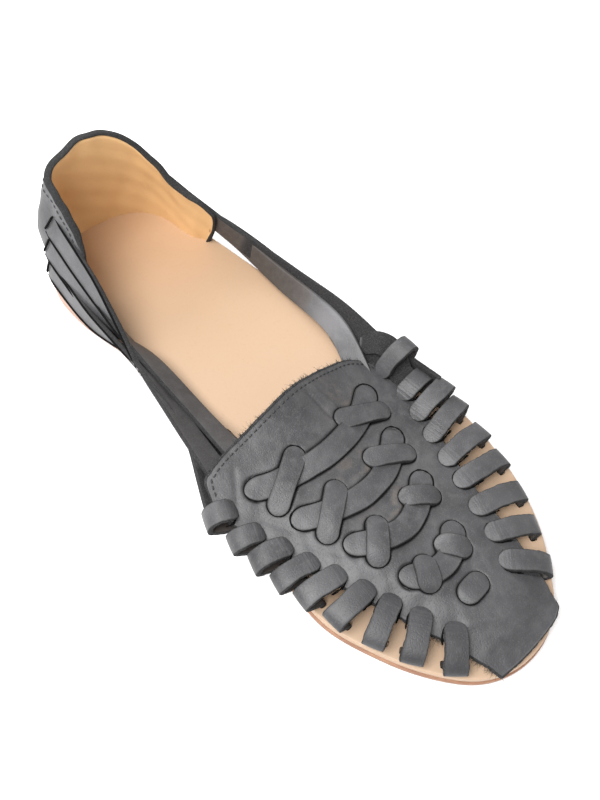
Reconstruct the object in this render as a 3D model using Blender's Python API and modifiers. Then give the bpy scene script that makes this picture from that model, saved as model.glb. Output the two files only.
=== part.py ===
"""Huarache sandal, left shoe: outsole, heel lift, footbed and woven leather upper.

The shoe stands on its sole. +Z is up, the toe points to -Y and the outer side of the foot is +X.
The origin is on the ground, under the middle of the heel. Lengths are in metres.
"""
import bpy
import bmesh
import numpy as np
from mathutils import Vector

# Sole and last
LENGTH = 0.245
BALL_WIDTH = 0.092
HEEL_SEAT = 0.033
OUTSOLE_THICK = 0.0024
FOOTBED_THICK = 0.0028
FOOTBED_INSET = 0.0005
HEEL_RISE = 0.0082
HEEL_LIFT_LENGTH = 0.065
HEEL_LIFT_INSET = 0.0006
HEEL_BREAST_CURVE = 0.003
TOE_SPRING = 0.0012
SEAM_GAP = 0.0003

# Upper
INSTEP_HEIGHT = 0.026
VAMP_THICK = 0.002
BAND_WIDTH = 0.0084
BAND_RISE = 0.0011
PILL_WIDTH = 0.0078
PILL_RISE = 0.0021
LOOP_WIDTH = 0.0076
LOOP_THICK = 0.0018
LOW_LOOP = 0.003
LOOP_TUCK = 0.001
STRAP_WIDTH = 0.0088
STRAP_THICK = 0.0018
SLOT_INSET = 0.0046
SLOT_DEPTH = 0.0018
TENON_DEPTH = 0.0014
EYE_LENGTH = 0.011
EYE_WIDTH = 0.0042
COUNTER_HEIGHT = 0.050
COUNTER_THICK = 0.0028
COUNTER_INSET = 0.003

# Half widths of the sole each side of the heel's centre line, as shares of BALL_WIDTH.
# Columns: place along the sole as a share of LENGTH from the heel end, outer side, inner side.
OUTLINE = (
    (0.00, -0.025, 0.025),
    (0.02, 0.193, 0.249),
    (0.06, 0.290, 0.329),
    (0.14, 0.340, 0.343),
    (0.28, 0.405, 0.270),
    (0.42, 0.494, 0.224),
    (0.56, 0.585, 0.287),
    (0.68, 0.614, 0.388),
    (0.78, 0.578, 0.414),
    (0.87, 0.492, 0.334),
    (0.94, 0.360, 0.224),
    (0.98, 0.251, 0.118),
    (1.00, 0.065, -0.065),
)
ARCH_BACK = 0.216
ARCH_FRONT = 0.592
SPRING_FROM = 0.84

# Sections of the vamp's outer face. Columns: along as a share of LENGTH, inner and outer edge
# as shares of BALL_WIDTH, then heights above the footbed as shares of INSTEP_HEIGHT at the
# inner edge, inner quarter, middle, outer quarter and outer edge.
VAMP = (
    (0.502, -0.446, 0.440, 0.77, 0.92, 1.06, 0.69, 0.27),
    (0.535, -0.457, 0.462, 0.67, 0.79, 0.90, 0.58, 0.21),
    (0.592, -0.467, 0.478, 0.52, 0.60, 0.65, 0.41, 0.18),
    (0.653, -0.424, 0.457, 0.38, 0.51, 0.47, 0.32, 0.18),
    (0.714, -0.359, 0.408, 0.30, 0.44, 0.39, 0.31, 0.20),
    (0.776, -0.288, 0.370, 0.26, 0.41, 0.36, 0.32, 0.22),
    (0.837, -0.223, 0.342, 0.24, 0.37, 0.35, 0.33, 0.22),
    (0.894, -0.163, 0.321, 0.20, 0.33, 0.335, 0.31, 0.20),
    (0.943, -0.109, 0.293, 0.15, 0.25, 0.28, 0.24, 0.15),
    (0.971, -0.087, 0.266, 0.12, 0.16, 0.18, 0.155, 0.11),
    (0.992, -0.071, 0.245, 0.095, 0.10, 0.105, 0.10, 0.095),
)
# Rear edge of the vamp. Columns: share of the way across from the inner edge, along.
THROAT = (
    (0.00, 0.584),
    (0.02, 0.556),
    (0.06, 0.545),
    (0.11, 0.540),
    (0.23, 0.535),
    (0.44, 0.528),
    (0.60, 0.521),
    (0.77, 0.515),
    (0.92, 0.519),
    (0.97, 0.529),
    (1.00, 0.549),
)
FRONT_INNER = 0.990
FRONT_OUTER = 0.974
VAMP_COLUMNS = (0.0, 0.03, 0.08, 0.17, 0.28, 0.39, 0.5, 0.61, 0.72, 0.83, 0.92, 0.97, 1.0)
VAMP_ROWS = 15

# Long bands woven under the vamp's pills. Columns: along and across at the inner tongue's tip,
# at the inner bend, at the lowest point, at the outer bend and at the outer tongue's tip.
BANDS = (
    (0.594, -0.352, 0.613, -0.205, 0.621, -0.010, 0.603, 0.190, 0.565, 0.347),
    (0.664, -0.289, 0.686, -0.157, 0.697, -0.010, 0.684, 0.150, 0.641, 0.299),
    (0.734, -0.199, 0.758, -0.095, 0.768, 0.025, 0.752, 0.140, 0.718, 0.250),
    (0.813, -0.121, 0.833, -0.050, 0.840, 0.030, 0.830, 0.105, 0.802, 0.187),
)
# Short pills that cross over the bands. Columns: along and across at the rear end and the
# front end, on the inner side and then on the outer side.
PILLS = (
    (0.590, -0.088, 0.644, -0.317, 0.588, 0.105, 0.612, 0.345),
    (0.659, -0.048, 0.717, -0.242, 0.655, 0.093, 0.690, 0.290),
    (0.730, -0.026, 0.787, -0.156, 0.729, 0.093, 0.764, 0.228),
    (0.810, -0.004, 0.858, -0.070, 0.809, 0.068, 0.850, 0.155),
)
TOE_PILL = (0.885, 0.122, 0.890, -0.012)

# Edge loops, from the throat to the toe. Columns: along and across at the tip on the vamp and
# at the outermost bend, then the bend's height above the footbed and the crest's rise above
# the tip, as shares of INSTEP_HEIGHT.
INNER_LOOPS = (
    (0.606, -0.417, 0.590, -0.520, 0.40, 0.16),
    (0.651, -0.388, 0.636, -0.500, 0.34, 0.14),
    (0.688, -0.340, 0.675, -0.483, 0.31, 0.12),
    (0.725, -0.301, 0.714, -0.464, 0.29, 0.11),
    (0.760, -0.255, 0.752, -0.434, 0.25, 0.09),
    (0.797, -0.212, 0.800, -0.397, 0.22, 0.08),
    (0.827, -0.177, 0.855, -0.342, 0.19, 0.07),
    (0.863, -0.132, 0.902, -0.276, 0.14, 0.05),
    (0.904, -0.080, 0.949, -0.188, 0.12, 0.05),
)
OUTER_LOOPS = (
    (0.556, 0.445, 0.558, 0.592, 0.50, 0.42),
    (0.606, 0.434, 0.602, 0.568, 0.27, 0.16),
    (0.645, 0.407, 0.636, 0.607, 0.29, 0.18),
    (0.685, 0.374, 0.672, 0.594, 0.25, 0.12),
    (0.726, 0.342, 0.724, 0.575, 0.19, 0.07),
    (0.763, 0.315, 0.775, 0.549, 0.15, 0.05),
    (0.805, 0.279, 0.829, 0.502, 0.13, 0.05),
    (0.845, 0.248, 0.878, 0.438, 0.12, 0.05),
    (0.883, 0.209, 0.931, 0.352, 0.12, 0.05),
)

# Side straps, top one first. Columns: along, across, height above the forefoot's footbed as a
# share of INSTEP_HEIGHT and outward lean in degrees. Rows: on the counter, beside the heel, at
# the waist, behind the vamp and at the end by the vamp.
INNER_STRAPS = (
    (
        (0.070, -0.272, 1.38, -6),
        (0.200, -0.290, 0.95, 4),
        (0.330, -0.303, 0.49, 46),
        (0.460, -0.347, 0.48, 55),
        (0.590, -0.370, 0.48, 78),
    ),
    (
        (0.062, -0.292, 0.92, -4),
        (0.200, -0.316, 0.68, 6),
        (0.330, -0.290, 0.53, 46),
        (0.460, -0.269, 0.33, 54),
        (0.600, -0.265, 0.485, 84),
    ),
    (
        (0.052, -0.300, 0.54, 0),
        (0.200, -0.338, 0.53, 4),
        (0.330, -0.318, 0.43, 30),
        (0.460, -0.368, 0.39, 34),
        (0.590, -0.490, 0.46, 12),
    ),
)
OUTER_STRAPS = (
    (
        (0.078, 0.262, 1.20, -6),
        (0.200, 0.352, 0.80, 4),
        (0.330, 0.436, 0.56, 24),
        (0.460, 0.492, 0.45, 38),
        (0.590, 0.505, 0.25, 60),
    ),
    (
        (0.070, 0.276, 0.86, -4),
        (0.200, 0.368, 0.78, 4),
        (0.330, 0.420, 0.53, 25),
        (0.460, 0.462, 0.37, 39),
        (0.590, 0.408, 0.18, 78),
    ),
    (
        (0.062, 0.284, 0.54, 0),
        (0.200, 0.383, 0.75, 4),
        (0.330, 0.452, 0.52, 20),
        (0.460, 0.515, 0.40, 10),
        (0.590, 0.580, 0.34, 4),
    ),
)
# Round-ended slots beside the straps. Columns: along and across at the middle, turn in degrees.
EYES = (
    (0.492, -0.208, -4),
    (0.452, 0.440, 14),
)

# Heel counter. Columns: angle about the heel's middle in degrees, from the outer side over the
# back to the inner side, and height as a share of COUNTER_HEIGHT.
COUNTER = (
    (-27, 0.38),
    (-22, 0.45),
    (-10, 0.49),
    (5, 0.55),
    (30, 0.71),
    (60, 0.92),
    (90, 1.00),
    (120, 0.95),
    (150, 0.80),
    (165, 0.70),
    (176, 0.63),
    (182, 0.57),
    (187, 0.48),
)
# Inward lean of the counter. Columns: height and lean, as shares of COUNTER_HEIGHT.
COUNTER_LEAN = (
    (0.0, 0.000),
    (0.3, 0.018),
    (0.6, 0.065),
    (1.0, 0.135),
)
COUNTER_COLUMNS = 25
COUNTER_ROWS = 5
SOLE_ROWS = 30
SOLE_COLUMNS = 6


def curve(table, column, where):
    """Smooth curve through one column of a table, read at a place given by its first column."""
    xs = np.array([row[0] for row in table])
    ys = np.array([row[column] for row in table])
    slopes = np.gradient(ys, xs)
    where = np.clip(np.asarray(where, dtype=float), xs[0], xs[-1])
    i = np.clip(np.searchsorted(xs, where) - 1, 0, len(xs) - 2)
    step = xs[i + 1] - xs[i]
    k = (where - xs[i]) / step
    start = (2 * k**3 - 3 * k**2 + 1) * ys[i] + (k**3 - 2 * k**2 + k) * step * slopes[i]
    end = (3 * k**2 - 2 * k**3) * ys[i + 1] + (k**3 - k**2) * step * slopes[i + 1]
    return start + end


def ease(k):
    """Smooth step from 0 to 1."""
    k = np.clip(k, 0.0, 1.0)
    return k * k * (3 - 2 * k)


def at(along, across, height):
    """World point from a share of the length, a share of the ball width and a height."""
    return Vector((across * BALL_WIDTH, HEEL_SEAT - along * LENGTH, height))


def outline(along):
    """Outer and inner half widths of the sole, smooth and round at both ends."""
    turn = [(np.arccos(1 - 2 * row[0]),) + row[1:] for row in OUTLINE]
    place = np.arccos(1 - 2 * np.clip(along, 0.0, 1.0))
    return curve(turn, 1, place) * BALL_WIDTH, curve(turn, 2, place) * BALL_WIDTH


def sole_rise(along):
    """Height of the outsole's underside above the ground: heel rise, arch and toe spring."""
    heel = HEEL_RISE * ease((ARCH_FRONT - along) / (ARCH_FRONT - ARCH_BACK))
    toe = TOE_SPRING * np.clip((along - SPRING_FROM) / (1 - SPRING_FROM), 0.0, 1.0) ** 2
    return heel + toe


def footbed_top(along):
    """Height of the footbed's upper face above the ground."""
    return sole_rise(along) + OUTSOLE_THICK + SEAM_GAP + FOOTBED_THICK


def vamp_share(along, across):
    """How far across the vamp a place lies, from 0 at its inner edge to 1 at its outer edge."""
    inner = curve(VAMP, 1, along)
    outer = curve(VAMP, 2, along)
    return (across - inner) / (outer - inner)


def vamp_height(along, across):
    """Height of the vamp's outer face above the ground."""
    quarters = [(k / 4, float(curve(VAMP, 3 + k, along))) for k in range(5)]
    share = np.clip(vamp_share(along, across), 0.0, 1.0)
    return footbed_top(along) + float(curve(quarters, 1, share)) * INSTEP_HEIGHT


def vamp_point(along, across, lift=0.0):
    """Point on the vamp's outer face, moved out of it by lift."""
    return at(along, across, vamp_height(along, across)) + vamp_normal(along, across) * lift


def vamp_normal(along, across, step=0.01):
    """Unit normal of the vamp's outer face."""
    ahead = at(along + step, across, vamp_height(along + step, across))
    behind = at(along - step, across, vamp_height(along - step, across))
    right = at(along, across + step, vamp_height(along, across + step))
    left = at(along, across - step, vamp_height(along, across - step))
    return (ahead - behind).cross(right - left).normalized()


def material(name, colour, roughness):
    """Principled material of one colour."""
    mat = bpy.data.materials.new(name)
    mat.use_nodes = True
    shader = mat.node_tree.nodes["Principled BSDF"]
    shader.inputs["Base Color"].default_value = (*colour, 1.0)
    shader.inputs["Roughness"].default_value = roughness
    shader.inputs["Metallic"].default_value = 0.0
    return mat


def new_object(name, points, faces, collection, mat=None):
    """Mesh object from points and faces, with its faces turned outwards."""
    mesh = bpy.data.meshes.new(name)
    mesh.from_pydata([tuple(p) for p in points], [], faces)
    bm = bmesh.new()
    bm.from_mesh(mesh)
    bmesh.ops.recalc_face_normals(bm, faces=bm.faces)
    bm.to_mesh(mesh)
    bm.free()
    if mat is not None:
        mesh.materials.append(mat)
    obj = bpy.data.objects.new(name, mesh)
    collection.objects.link(obj)
    return obj


def as_helper(obj):
    """Marks an object as a cutter or a piece that is joined into another."""
    obj.hide_render = True
    obj.display_type = "WIRE"
    return obj


def loft(rings):
    """Points and faces of a closed solid through rings of the same number of points."""
    count = len(rings[0])
    points = [p for ring in rings for p in ring]
    faces = []
    for i in range(len(rings) - 1):
        for j in range(count):
            k = (j + 1) % count
            faces.append((i * count + j, i * count + k, (i + 1) * count + k, (i + 1) * count + j))
    faces.append(tuple(range(count)))
    faces.append(tuple((len(rings) - 1) * count + j for j in range(count)))
    return points, faces


def sole_slab(name, inset, under, over, last, collection, mat, breast=0.0):
    """Slab with the sole's outline, from the heel end to a share of the length."""
    turns = np.linspace(0.0, np.arccos(1 - 2 * last), SOLE_ROWS)
    places = (1 - np.cos(turns)) / 2
    end_gap = inset / LENGTH
    rings = []
    for i, place in enumerate(places):
        outer, inner = outline(place)
        middle = (outer - inner) / 2
        half = (outer + inner) / 2
        closed_end = i == 0 or (i == SOLE_ROWS - 1 and last == 1.0)
        half = 0.0002 if closed_end else max(half - inset, 0.0004)
        along = np.clip(place, end_gap, last - (end_gap if last == 1.0 else 0.0))
        across = middle + half * np.linspace(-1, 1, SOLE_COLUMNS)
        hollow = breast * (1 - np.linspace(-1, 1, SOLE_COLUMNS) ** 2) * (i / (SOLE_ROWS - 1)) ** 4
        top = [Vector((x, HEEL_SEAT - along * LENGTH + h, over(along))) for x, h in zip(across, hollow)]
        low = [Vector((x, HEEL_SEAT - along * LENGTH + h, under(along))) for x, h in zip(across, hollow)]
        rings.append(top + low[::-1])
    points, faces = loft(rings)
    return new_object(name, points, faces, collection, mat)


def sweep(spine, ups, widths, rise, depth, round_edge=True):
    """Closed strip along a spine: a flat section with its upper edges taken off."""
    rings = []
    corner = min(rise * 0.45, 0.0005)
    for i, point in enumerate(spine):
        before = spine[max(i - 1, 0)]
        after = spine[min(i + 1, len(spine) - 1)]
        along = (after - before).normalized()
        side = along.cross(ups[i]).normalized()
        up = side.cross(along).normalized()
        half = widths[i] / 2
        if round_edge:
            shape = ((-half, -depth), (-half, rise - corner), (-half + corner, rise),
                     (half - corner, rise), (half, rise - corner), (half, -depth))
        else:
            shape = ((-half, -depth), (-half, rise), (half, rise), (half, -depth))
        rings.append([point + side * x + up * z for x, z in shape])
    return loft(rings)


def round_ends(count, reach, width, both=True):
    """Places along a strip and its width at each, with one or both ends rounded."""
    cap = min(0.5 * width / reach, 0.3)
    start = [cap * (1 - np.cos(a)) for a in np.radians((0, 50))]
    run_end = 1 - cap if both else 1.0
    middle = list(np.linspace(cap, run_end, count))
    places = start + middle + ([1 - s for s in start[::-1]] if both else [])
    widths = []
    for place in places:
        near = min(place, 1 - place) if both else place
        inside = np.clip(1 - near / cap, 0.0, 1.0)
        widths.append(width * max(np.sqrt(1 - inside**2), 0.42))
    return places, widths


def make_vamp(collection, mat):
    """Vamp wall: an open sheet through the sections, thickened inwards."""
    points = []
    for j in range(VAMP_ROWS):
        run = j / (VAMP_ROWS - 1)
        for share in VAMP_COLUMNS:
            rear = float(curve(THROAT, 1, share))
            front = FRONT_INNER + (FRONT_OUTER - FRONT_INNER) * share
            along = rear + (front - rear) * run
            inner = float(curve(VAMP, 1, along))
            outer = float(curve(VAMP, 2, along))
            across = inner + (outer - inner) * share
            points.append(at(along, across, vamp_height(along, across)))
    wide = len(VAMP_COLUMNS)
    faces = []
    for j in range(VAMP_ROWS - 1):
        for i in range(wide - 1):
            corner = j * wide + i
            faces.append((corner, corner + 1, corner + wide + 1, corner + wide))
    vamp = new_object("upper", points, faces, collection, mat)
    if vamp.data.polygons[0].normal.z < 0:
        vamp.data.flip_normals()
    wall = vamp.modifiers.new("wall", "SOLIDIFY")
    wall.thickness = VAMP_THICK
    wall.offset = -1.0
    wall.use_even_offset = False
    return vamp


def through(knots, place):
    """Smooth path through knots of along and across, at a share of its run."""
    steps = np.linspace(0, 1, len(knots))
    rows = [(s,) + tuple(k) for s, k in zip(steps, knots)]
    return [float(curve(rows, c, place)) for c in range(1, len(rows[0]))]


def vamp_strip(name, knots, width, rise, count, collection):
    """Strip laid on the vamp, sunk half way into its wall."""
    ends = [at(k[0], k[1], 0) for k in (knots[0], knots[-1])]
    reach = (ends[1] - ends[0]).length
    places, widths = round_ends(count, reach, width)
    spots = [through(knots, p) for p in places]
    spine = [vamp_point(a, c) for a, c in spots]
    ups = [vamp_normal(a, c) for a, c in spots]
    points, faces = sweep(spine, ups, widths, rise, VAMP_THICK * 0.5)
    return as_helper(new_object(name, points, faces, collection))


def make_weave(collection):
    """Four long bands, two pills across each, and the pill near the toe."""
    for i, row in enumerate(BANDS):
        knots = [row[k:k + 2] for k in range(0, 10, 2)]
        vamp_strip(f"band_{i + 1}", knots, BAND_WIDTH, BAND_RISE, 8, collection)
    for i, row in enumerate(PILLS):
        vamp_strip(f"pill_inner_{i + 1}", (row[0:2], row[2:4]), PILL_WIDTH, PILL_RISE, 4, collection)
        vamp_strip(f"pill_outer_{i + 1}", (row[4:6], row[6:8]), PILL_WIDTH, PILL_RISE, 4, collection)
    vamp_strip("pill_toe", (TOE_PILL[0:2], TOE_PILL[2:4]), PILL_WIDTH, PILL_RISE, 4, collection)


def bezier(a, b, c, d, k):
    """Point on a cubic curve with four handles."""
    m = 1 - k
    return a * m**3 + b * (3 * m * m * k) + c * (3 * m * k * k) + d * k**3


def loop_heading(row):
    """Level direction of an edge loop, from its tip to its outermost bend."""
    return (at(row[2], row[3], 0) - at(row[0], row[1], 0)).normalized()


def loop_foot(row):
    """Middle of the slot where an edge loop goes down, SLOT_INSET inside the sole's edge."""
    heading = loop_heading(row)
    bend = at(row[2], row[3], 0)
    ring = []
    for place in (1 - np.cos(np.linspace(0.2, np.pi, 90))) / 2:
        outer, inner = outline(place)
        across = outer if row[3] > 0 else -inner
        ring.append((float(across), HEEL_SEAT - place * LENGTH))
    ring = np.array(ring)
    foot = bend
    for tuck in np.arange(LOOP_TUCK, 0.03, 0.0003):
        foot = bend - heading * float(tuck)
        inside = abs(foot.x) < abs(np.interp(-foot.y, -ring[:, 1], ring[:, 0]))
        if inside and np.hypot(ring[:, 0] - foot.x, ring[:, 1] - foot.y).min() > SLOT_INSET:
            break
    foot.z = float(footbed_top((HEEL_SEAT - foot.y) / LENGTH))
    return foot


def loop_spine(row, count=6):
    """Path of an edge loop: out of the vamp, over its edge, and down into the footbed."""
    tip = vamp_point(row[0], row[1], -VAMP_THICK * 0.5)
    bend = at(row[2], row[3], footbed_top(row[2]) + row[4] * INSTEP_HEIGHT)
    foot = loop_foot(row) + Vector((0, 0, LOOP_THICK / 2))
    rise = row[5] * INSTEP_HEIGHT
    out = Vector((bend.x - tip.x, bend.y - tip.y, 0))
    down = Vector((0, 0, -1))
    crest = tip + out * 0.35 + Vector((0, 0, rise + VAMP_THICK))
    drop = max(bend.z - foot.z, 0.001)
    shoulder = bend - down * max(0.35 * (crest.z - bend.z) + 0.25 * drop, 0.0012)
    first = [bezier(tip, crest, shoulder, bend, k) for k in np.linspace(0, 1, count + 1)]
    steps = 3 if drop > LOW_LOOP else 2
    second = [bezier(bend, bend + down * drop * 0.45, foot - down * drop * 0.4, foot, k)
              for k in np.linspace(0, 1, steps)][1:]
    return first + second + [foot + down * (TENON_DEPTH + LOOP_THICK / 2)]


def make_loop(name, row, collection):
    """Edge loop: one strip with a rounded tip on the vamp."""
    spine = loop_spine(row)
    side = Vector((0, 0, 1)).cross(loop_heading(row))
    ups = []
    for i in range(len(spine)):
        along = (spine[min(i + 1, len(spine) - 1)] - spine[max(i - 1, 0)]).normalized()
        ups.append(along.cross(side))
    widths = [LOOP_WIDTH * k for k in (0.5, 0.9)] + [LOOP_WIDTH] * (len(spine) - 2)
    points, faces = sweep(spine, ups, widths, LOOP_THICK / 2, LOOP_THICK / 2, round_edge=False)
    return as_helper(new_object(name, points, faces, collection))


def make_strap(name, knots, side_sign, collection, count=13):
    """Side strap from the counter to the vamp's corner, turning as it runs."""
    spine = []
    ups = []
    forefoot = footbed_top(ARCH_FRONT)
    for place in np.linspace(0, 1, count):
        along, across, height, lean = through(knots, place)
        spine.append(at(along, across, forefoot + height * INSTEP_HEIGHT))
        turn = np.radians(lean)
        ups.append(Vector((side_sign * np.cos(turn), 0, -np.sin(turn))))
    points, faces = sweep(spine, ups, [STRAP_WIDTH] * count, STRAP_THICK / 2, STRAP_THICK / 2, False)
    strap = as_helper(new_object(name, points, faces, collection))
    bm = bmesh.new()
    bm.from_mesh(strap.data)
    bmesh.ops.triangulate(bm, faces=bm.faces)
    bm.to_mesh(strap.data)
    bm.free()
    return strap


def heel_radius(angle):
    """Distance from the heel's middle to the sole's edge, in a direction in degrees."""
    places = (1 - np.cos(np.linspace(0, 1.7, 60))) / 2
    sides = [outline(p) for p in places]
    outer = [(float(s[0]), HEEL_SEAT - p * LENGTH) for s, p in zip(sides, places)]
    inner = [(-float(s[1]), HEEL_SEAT - p * LENGTH) for s, p in zip(sides, places)]
    ring = np.array(outer[::-1] + inner)
    angles = np.degrees(np.unwrap(np.arctan2(ring[:, 1], ring[:, 0])))
    return float(np.interp(angle, angles, np.hypot(ring[:, 0], ring[:, 1])))


def counter_sheet(name, low, high_share, offset, collection):
    """Open wall round the heel, from a depth below the footbed to a share of its height."""
    points = []
    spread = np.degrees(offset / BALL_WIDTH * 3)
    angles = np.linspace(COUNTER[0][0] - spread, COUNTER[-1][0] + spread, COUNTER_COLUMNS)
    for angle in angles:
        base = heel_radius(angle) - COUNTER_INSET + offset
        height = float(curve(COUNTER, 1, angle)) * COUNTER_HEIGHT * high_share
        turn = np.radians(angle)
        floor = footbed_top((HEEL_SEAT - base * np.sin(turn)) / LENGTH)
        for k in np.linspace(0, 1, COUNTER_ROWS):
            up = -low + (height + low) * k
            lean = float(curve(COUNTER_LEAN, 1, max(up, 0.0) / COUNTER_HEIGHT)) * COUNTER_HEIGHT
            radius = base - lean
            points.append(Vector((radius * np.cos(turn), radius * np.sin(turn), floor + up)))
    faces = []
    for i in range(COUNTER_COLUMNS - 1):
        for j in range(COUNTER_ROWS - 1):
            corner = i * COUNTER_ROWS + j
            faces.append((corner, corner + COUNTER_ROWS, corner + COUNTER_ROWS + 1, corner + 1))
    return new_object(name, points, faces, collection)


def thicken(obj, thickness):
    """Gives an open wall its thickness, inwards from its outer face."""
    outward = obj.data.polygons[0].normal.dot(obj.data.polygons[0].center)
    if outward < 0:
        obj.data.flip_normals()
    wall = obj.modifiers.new("wall", "SOLIDIFY")
    wall.thickness = thickness
    wall.offset = -1.0
    return as_helper(obj)


def join_all(target, helpers, operation):
    """Joins a collection of helpers to a solid, or cuts them out of it."""
    step = target.modifiers.new("helpers", "BOOLEAN")
    step.operation = operation
    step.operand_type = "COLLECTION"
    step.collection = helpers
    step.solver = "EXACT"


def make_upper(collection, helpers, mat):
    """Vamp, weave, edge loops, side straps and counter as one solid."""
    vamp = make_vamp(collection, mat)
    make_weave(helpers)
    for i, row in enumerate(INNER_LOOPS):
        make_loop(f"loop_inner_{i + 1}", row, helpers)
    for i, row in enumerate(OUTER_LOOPS):
        make_loop(f"loop_outer_{i + 1}", row, helpers)
    for i, knots in enumerate(INNER_STRAPS):
        make_strap(f"strap_inner_{i + 1}", knots, -1, helpers)
    for i, knots in enumerate(OUTER_STRAPS):
        make_strap(f"strap_outer_{i + 1}", knots, 1, helpers)
    thicken(counter_sheet("counter", TENON_DEPTH, 1.0, 0.0, helpers), COUNTER_THICK)
    join_all(vamp, helpers, "UNION")
    return vamp


def slot_cutter(name, row, collection):
    """Cutter for the slot that an edge loop goes down into."""
    foot = loop_foot(row)
    out = loop_heading(row)
    side = Vector((0, 0, 1)).cross(out)
    wide = LOOP_WIDTH / 2 + SEAM_GAP
    thick = LOOP_THICK / 2 + SEAM_GAP
    rings = []
    for z in (-SLOT_DEPTH, SLOT_DEPTH):
        rings.append([foot + side * (wide * a) + out * (thick * b) + Vector((0, 0, z))
                      for a, b in ((-1, -1), (1, -1), (1, 1), (-1, 1))])
    points, faces = loft(rings)
    return as_helper(new_object(name, points, faces, collection))


def eye_cutter(name, row, collection):
    """Cutter for a round-ended slot that shows beside the straps."""
    middle = at(row[0], row[1], footbed_top(row[0]))
    turn = np.radians(row[2])
    run = Vector((np.sin(turn), np.cos(turn), 0))
    side = Vector((np.cos(turn), -np.sin(turn), 0))
    radius = EYE_WIDTH / 2
    flat = EYE_LENGTH / 2 - radius
    rings = []
    for z in (-SLOT_DEPTH, SLOT_DEPTH):
        ring = []
        for end, first in ((1, 0), (-1, 180)):
            for a in np.radians(np.linspace(first, first + 180, 6)):
                ring.append(middle + side * (radius * np.cos(a)) + run * (radius * np.sin(a) + end * flat)
                            + Vector((0, 0, z)))
        rings.append(ring)
    points, faces = loft(rings)
    return as_helper(new_object(name, points, faces, collection))


def make_footbed(collection, cutters, mat):
    """Footbed with its loop slots, the two round-ended slots and the counter's groove."""
    footbed = sole_slab(
        "footbed", FOOTBED_INSET,
        lambda a: sole_rise(a) + OUTSOLE_THICK + SEAM_GAP, footbed_top, 1.0, collection, mat)
    for side, loops in (("inner", INNER_LOOPS), ("outer", OUTER_LOOPS)):
        for i, row in enumerate(loops):
            slot_cutter(f"slot_{side}_{i + 1}", row, cutters)
    for i, row in enumerate(EYES):
        eye_cutter(f"eye_{i + 1}", row, cutters)
    groove = counter_sheet("groove", SLOT_DEPTH, 0.08, SEAM_GAP, cutters)
    thicken(groove, COUNTER_THICK + 2 * SEAM_GAP)
    join_all(footbed, cutters, "DIFFERENCE")
    return footbed


def main():
    for obj in list(bpy.data.objects):
        bpy.data.objects.remove(obj, do_unlink=True)
    parts = bpy.data.collections.new("huarache_sandal")
    joined = bpy.data.collections.new("upper_pieces")
    cutters = bpy.data.collections.new("footbed_cutters")
    for group in (parts, joined, cutters):
        bpy.context.scene.collection.children.link(group)
    black_leather = material("black_leather", (0.060, 0.062, 0.066), 0.46)
    footbed_leather = material("footbed_leather", (0.78, 0.56, 0.38), 0.42)
    outsole_leather = material("outsole_leather", (0.42, 0.22, 0.13), 0.55)
    stacked_leather = material("stacked_leather", (0.55, 0.34, 0.24), 0.50)

    sole_slab("outsole", 0.0, sole_rise, lambda a: sole_rise(a) + OUTSOLE_THICK, 1.0, parts,
              outsole_leather)
    sole_slab("heel_lift", HEEL_LIFT_INSET, lambda a: 0.0, lambda a: sole_rise(a) - SEAM_GAP,
              HEEL_LIFT_LENGTH / LENGTH, parts, stacked_leather, HEEL_BREAST_CURVE)
    make_footbed(parts, cutters, footbed_leather)
    make_upper(parts, joined, black_leather)


main()
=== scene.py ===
"""Finish of the huarache sandal: black woven leather on a pale footbed, seen from above the toe.

The shoe stands as in the frame: +Z up, toe towards -Y, outer side of the left foot towards +X.
Sizes are in metres. A place on the shoe is given as along, a share of LENGTH from the heel end,
and across, a share of BALL_WIDTH from the heel's centre line. Heights over the footbed are shares
of INSTEP_HEIGHT.
"""
import math

import bpy
import numpy as np
from mathutils import Matrix, Vector


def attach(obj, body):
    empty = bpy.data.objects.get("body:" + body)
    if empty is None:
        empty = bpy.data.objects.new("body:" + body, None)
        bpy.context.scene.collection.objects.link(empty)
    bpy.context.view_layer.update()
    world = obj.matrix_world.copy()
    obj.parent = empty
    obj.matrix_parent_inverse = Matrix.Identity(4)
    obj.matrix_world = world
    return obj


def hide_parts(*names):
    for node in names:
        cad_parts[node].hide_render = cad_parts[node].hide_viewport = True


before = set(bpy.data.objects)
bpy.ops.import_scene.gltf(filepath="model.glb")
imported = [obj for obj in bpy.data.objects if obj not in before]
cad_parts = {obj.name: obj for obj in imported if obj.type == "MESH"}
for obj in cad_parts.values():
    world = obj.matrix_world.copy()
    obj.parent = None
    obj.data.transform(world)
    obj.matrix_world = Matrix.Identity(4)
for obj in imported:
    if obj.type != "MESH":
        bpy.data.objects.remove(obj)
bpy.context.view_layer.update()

# Sizes of the shoe
LENGTH = 0.245
BALL_WIDTH = 0.092
HEEL_SEAT = 0.033
OUTSOLE_THICK = 0.0024
FOOTBED_THICK = 0.0028
FOOTBED_INSET = 0.0005
HEEL_RISE = 0.0082
HEEL_LIFT_LENGTH = 0.065
HEEL_LIFT_INSET = 0.0006
HEEL_BREAST_CURVE = 0.003
TOE_SPRING = 0.0012
SEAM_GAP = 0.0003
INSTEP_HEIGHT = 0.026
VAMP_THICK = 0.002
BAND_WIDTH = 0.0084
PILL_WIDTH = 0.0078
LOOP_WIDTH = 0.0076
LOOP_THICK = 0.0019
STRAP_WIDTH = 0.0088
STRAP_THICK = 0.0018
SLOT_INSET = 0.0046
SLOT_DEPTH = 0.0018
TENON_DEPTH = 0.0014
EYE_LENGTH = 0.011
EYE_WIDTH = 0.0042
COUNTER_HEIGHT = 0.050
COUNTER_THICK = 0.0017
LINING_THICK = 0.0010
COUNTER_INSET = 0.003
BAND_THICK = 0.0017
PILL_THICK = 0.0018
EDGE_ROUND = 0.00032
STRAP_ROUND = 0.00038
SLIT_GAP = 0.00014
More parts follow.
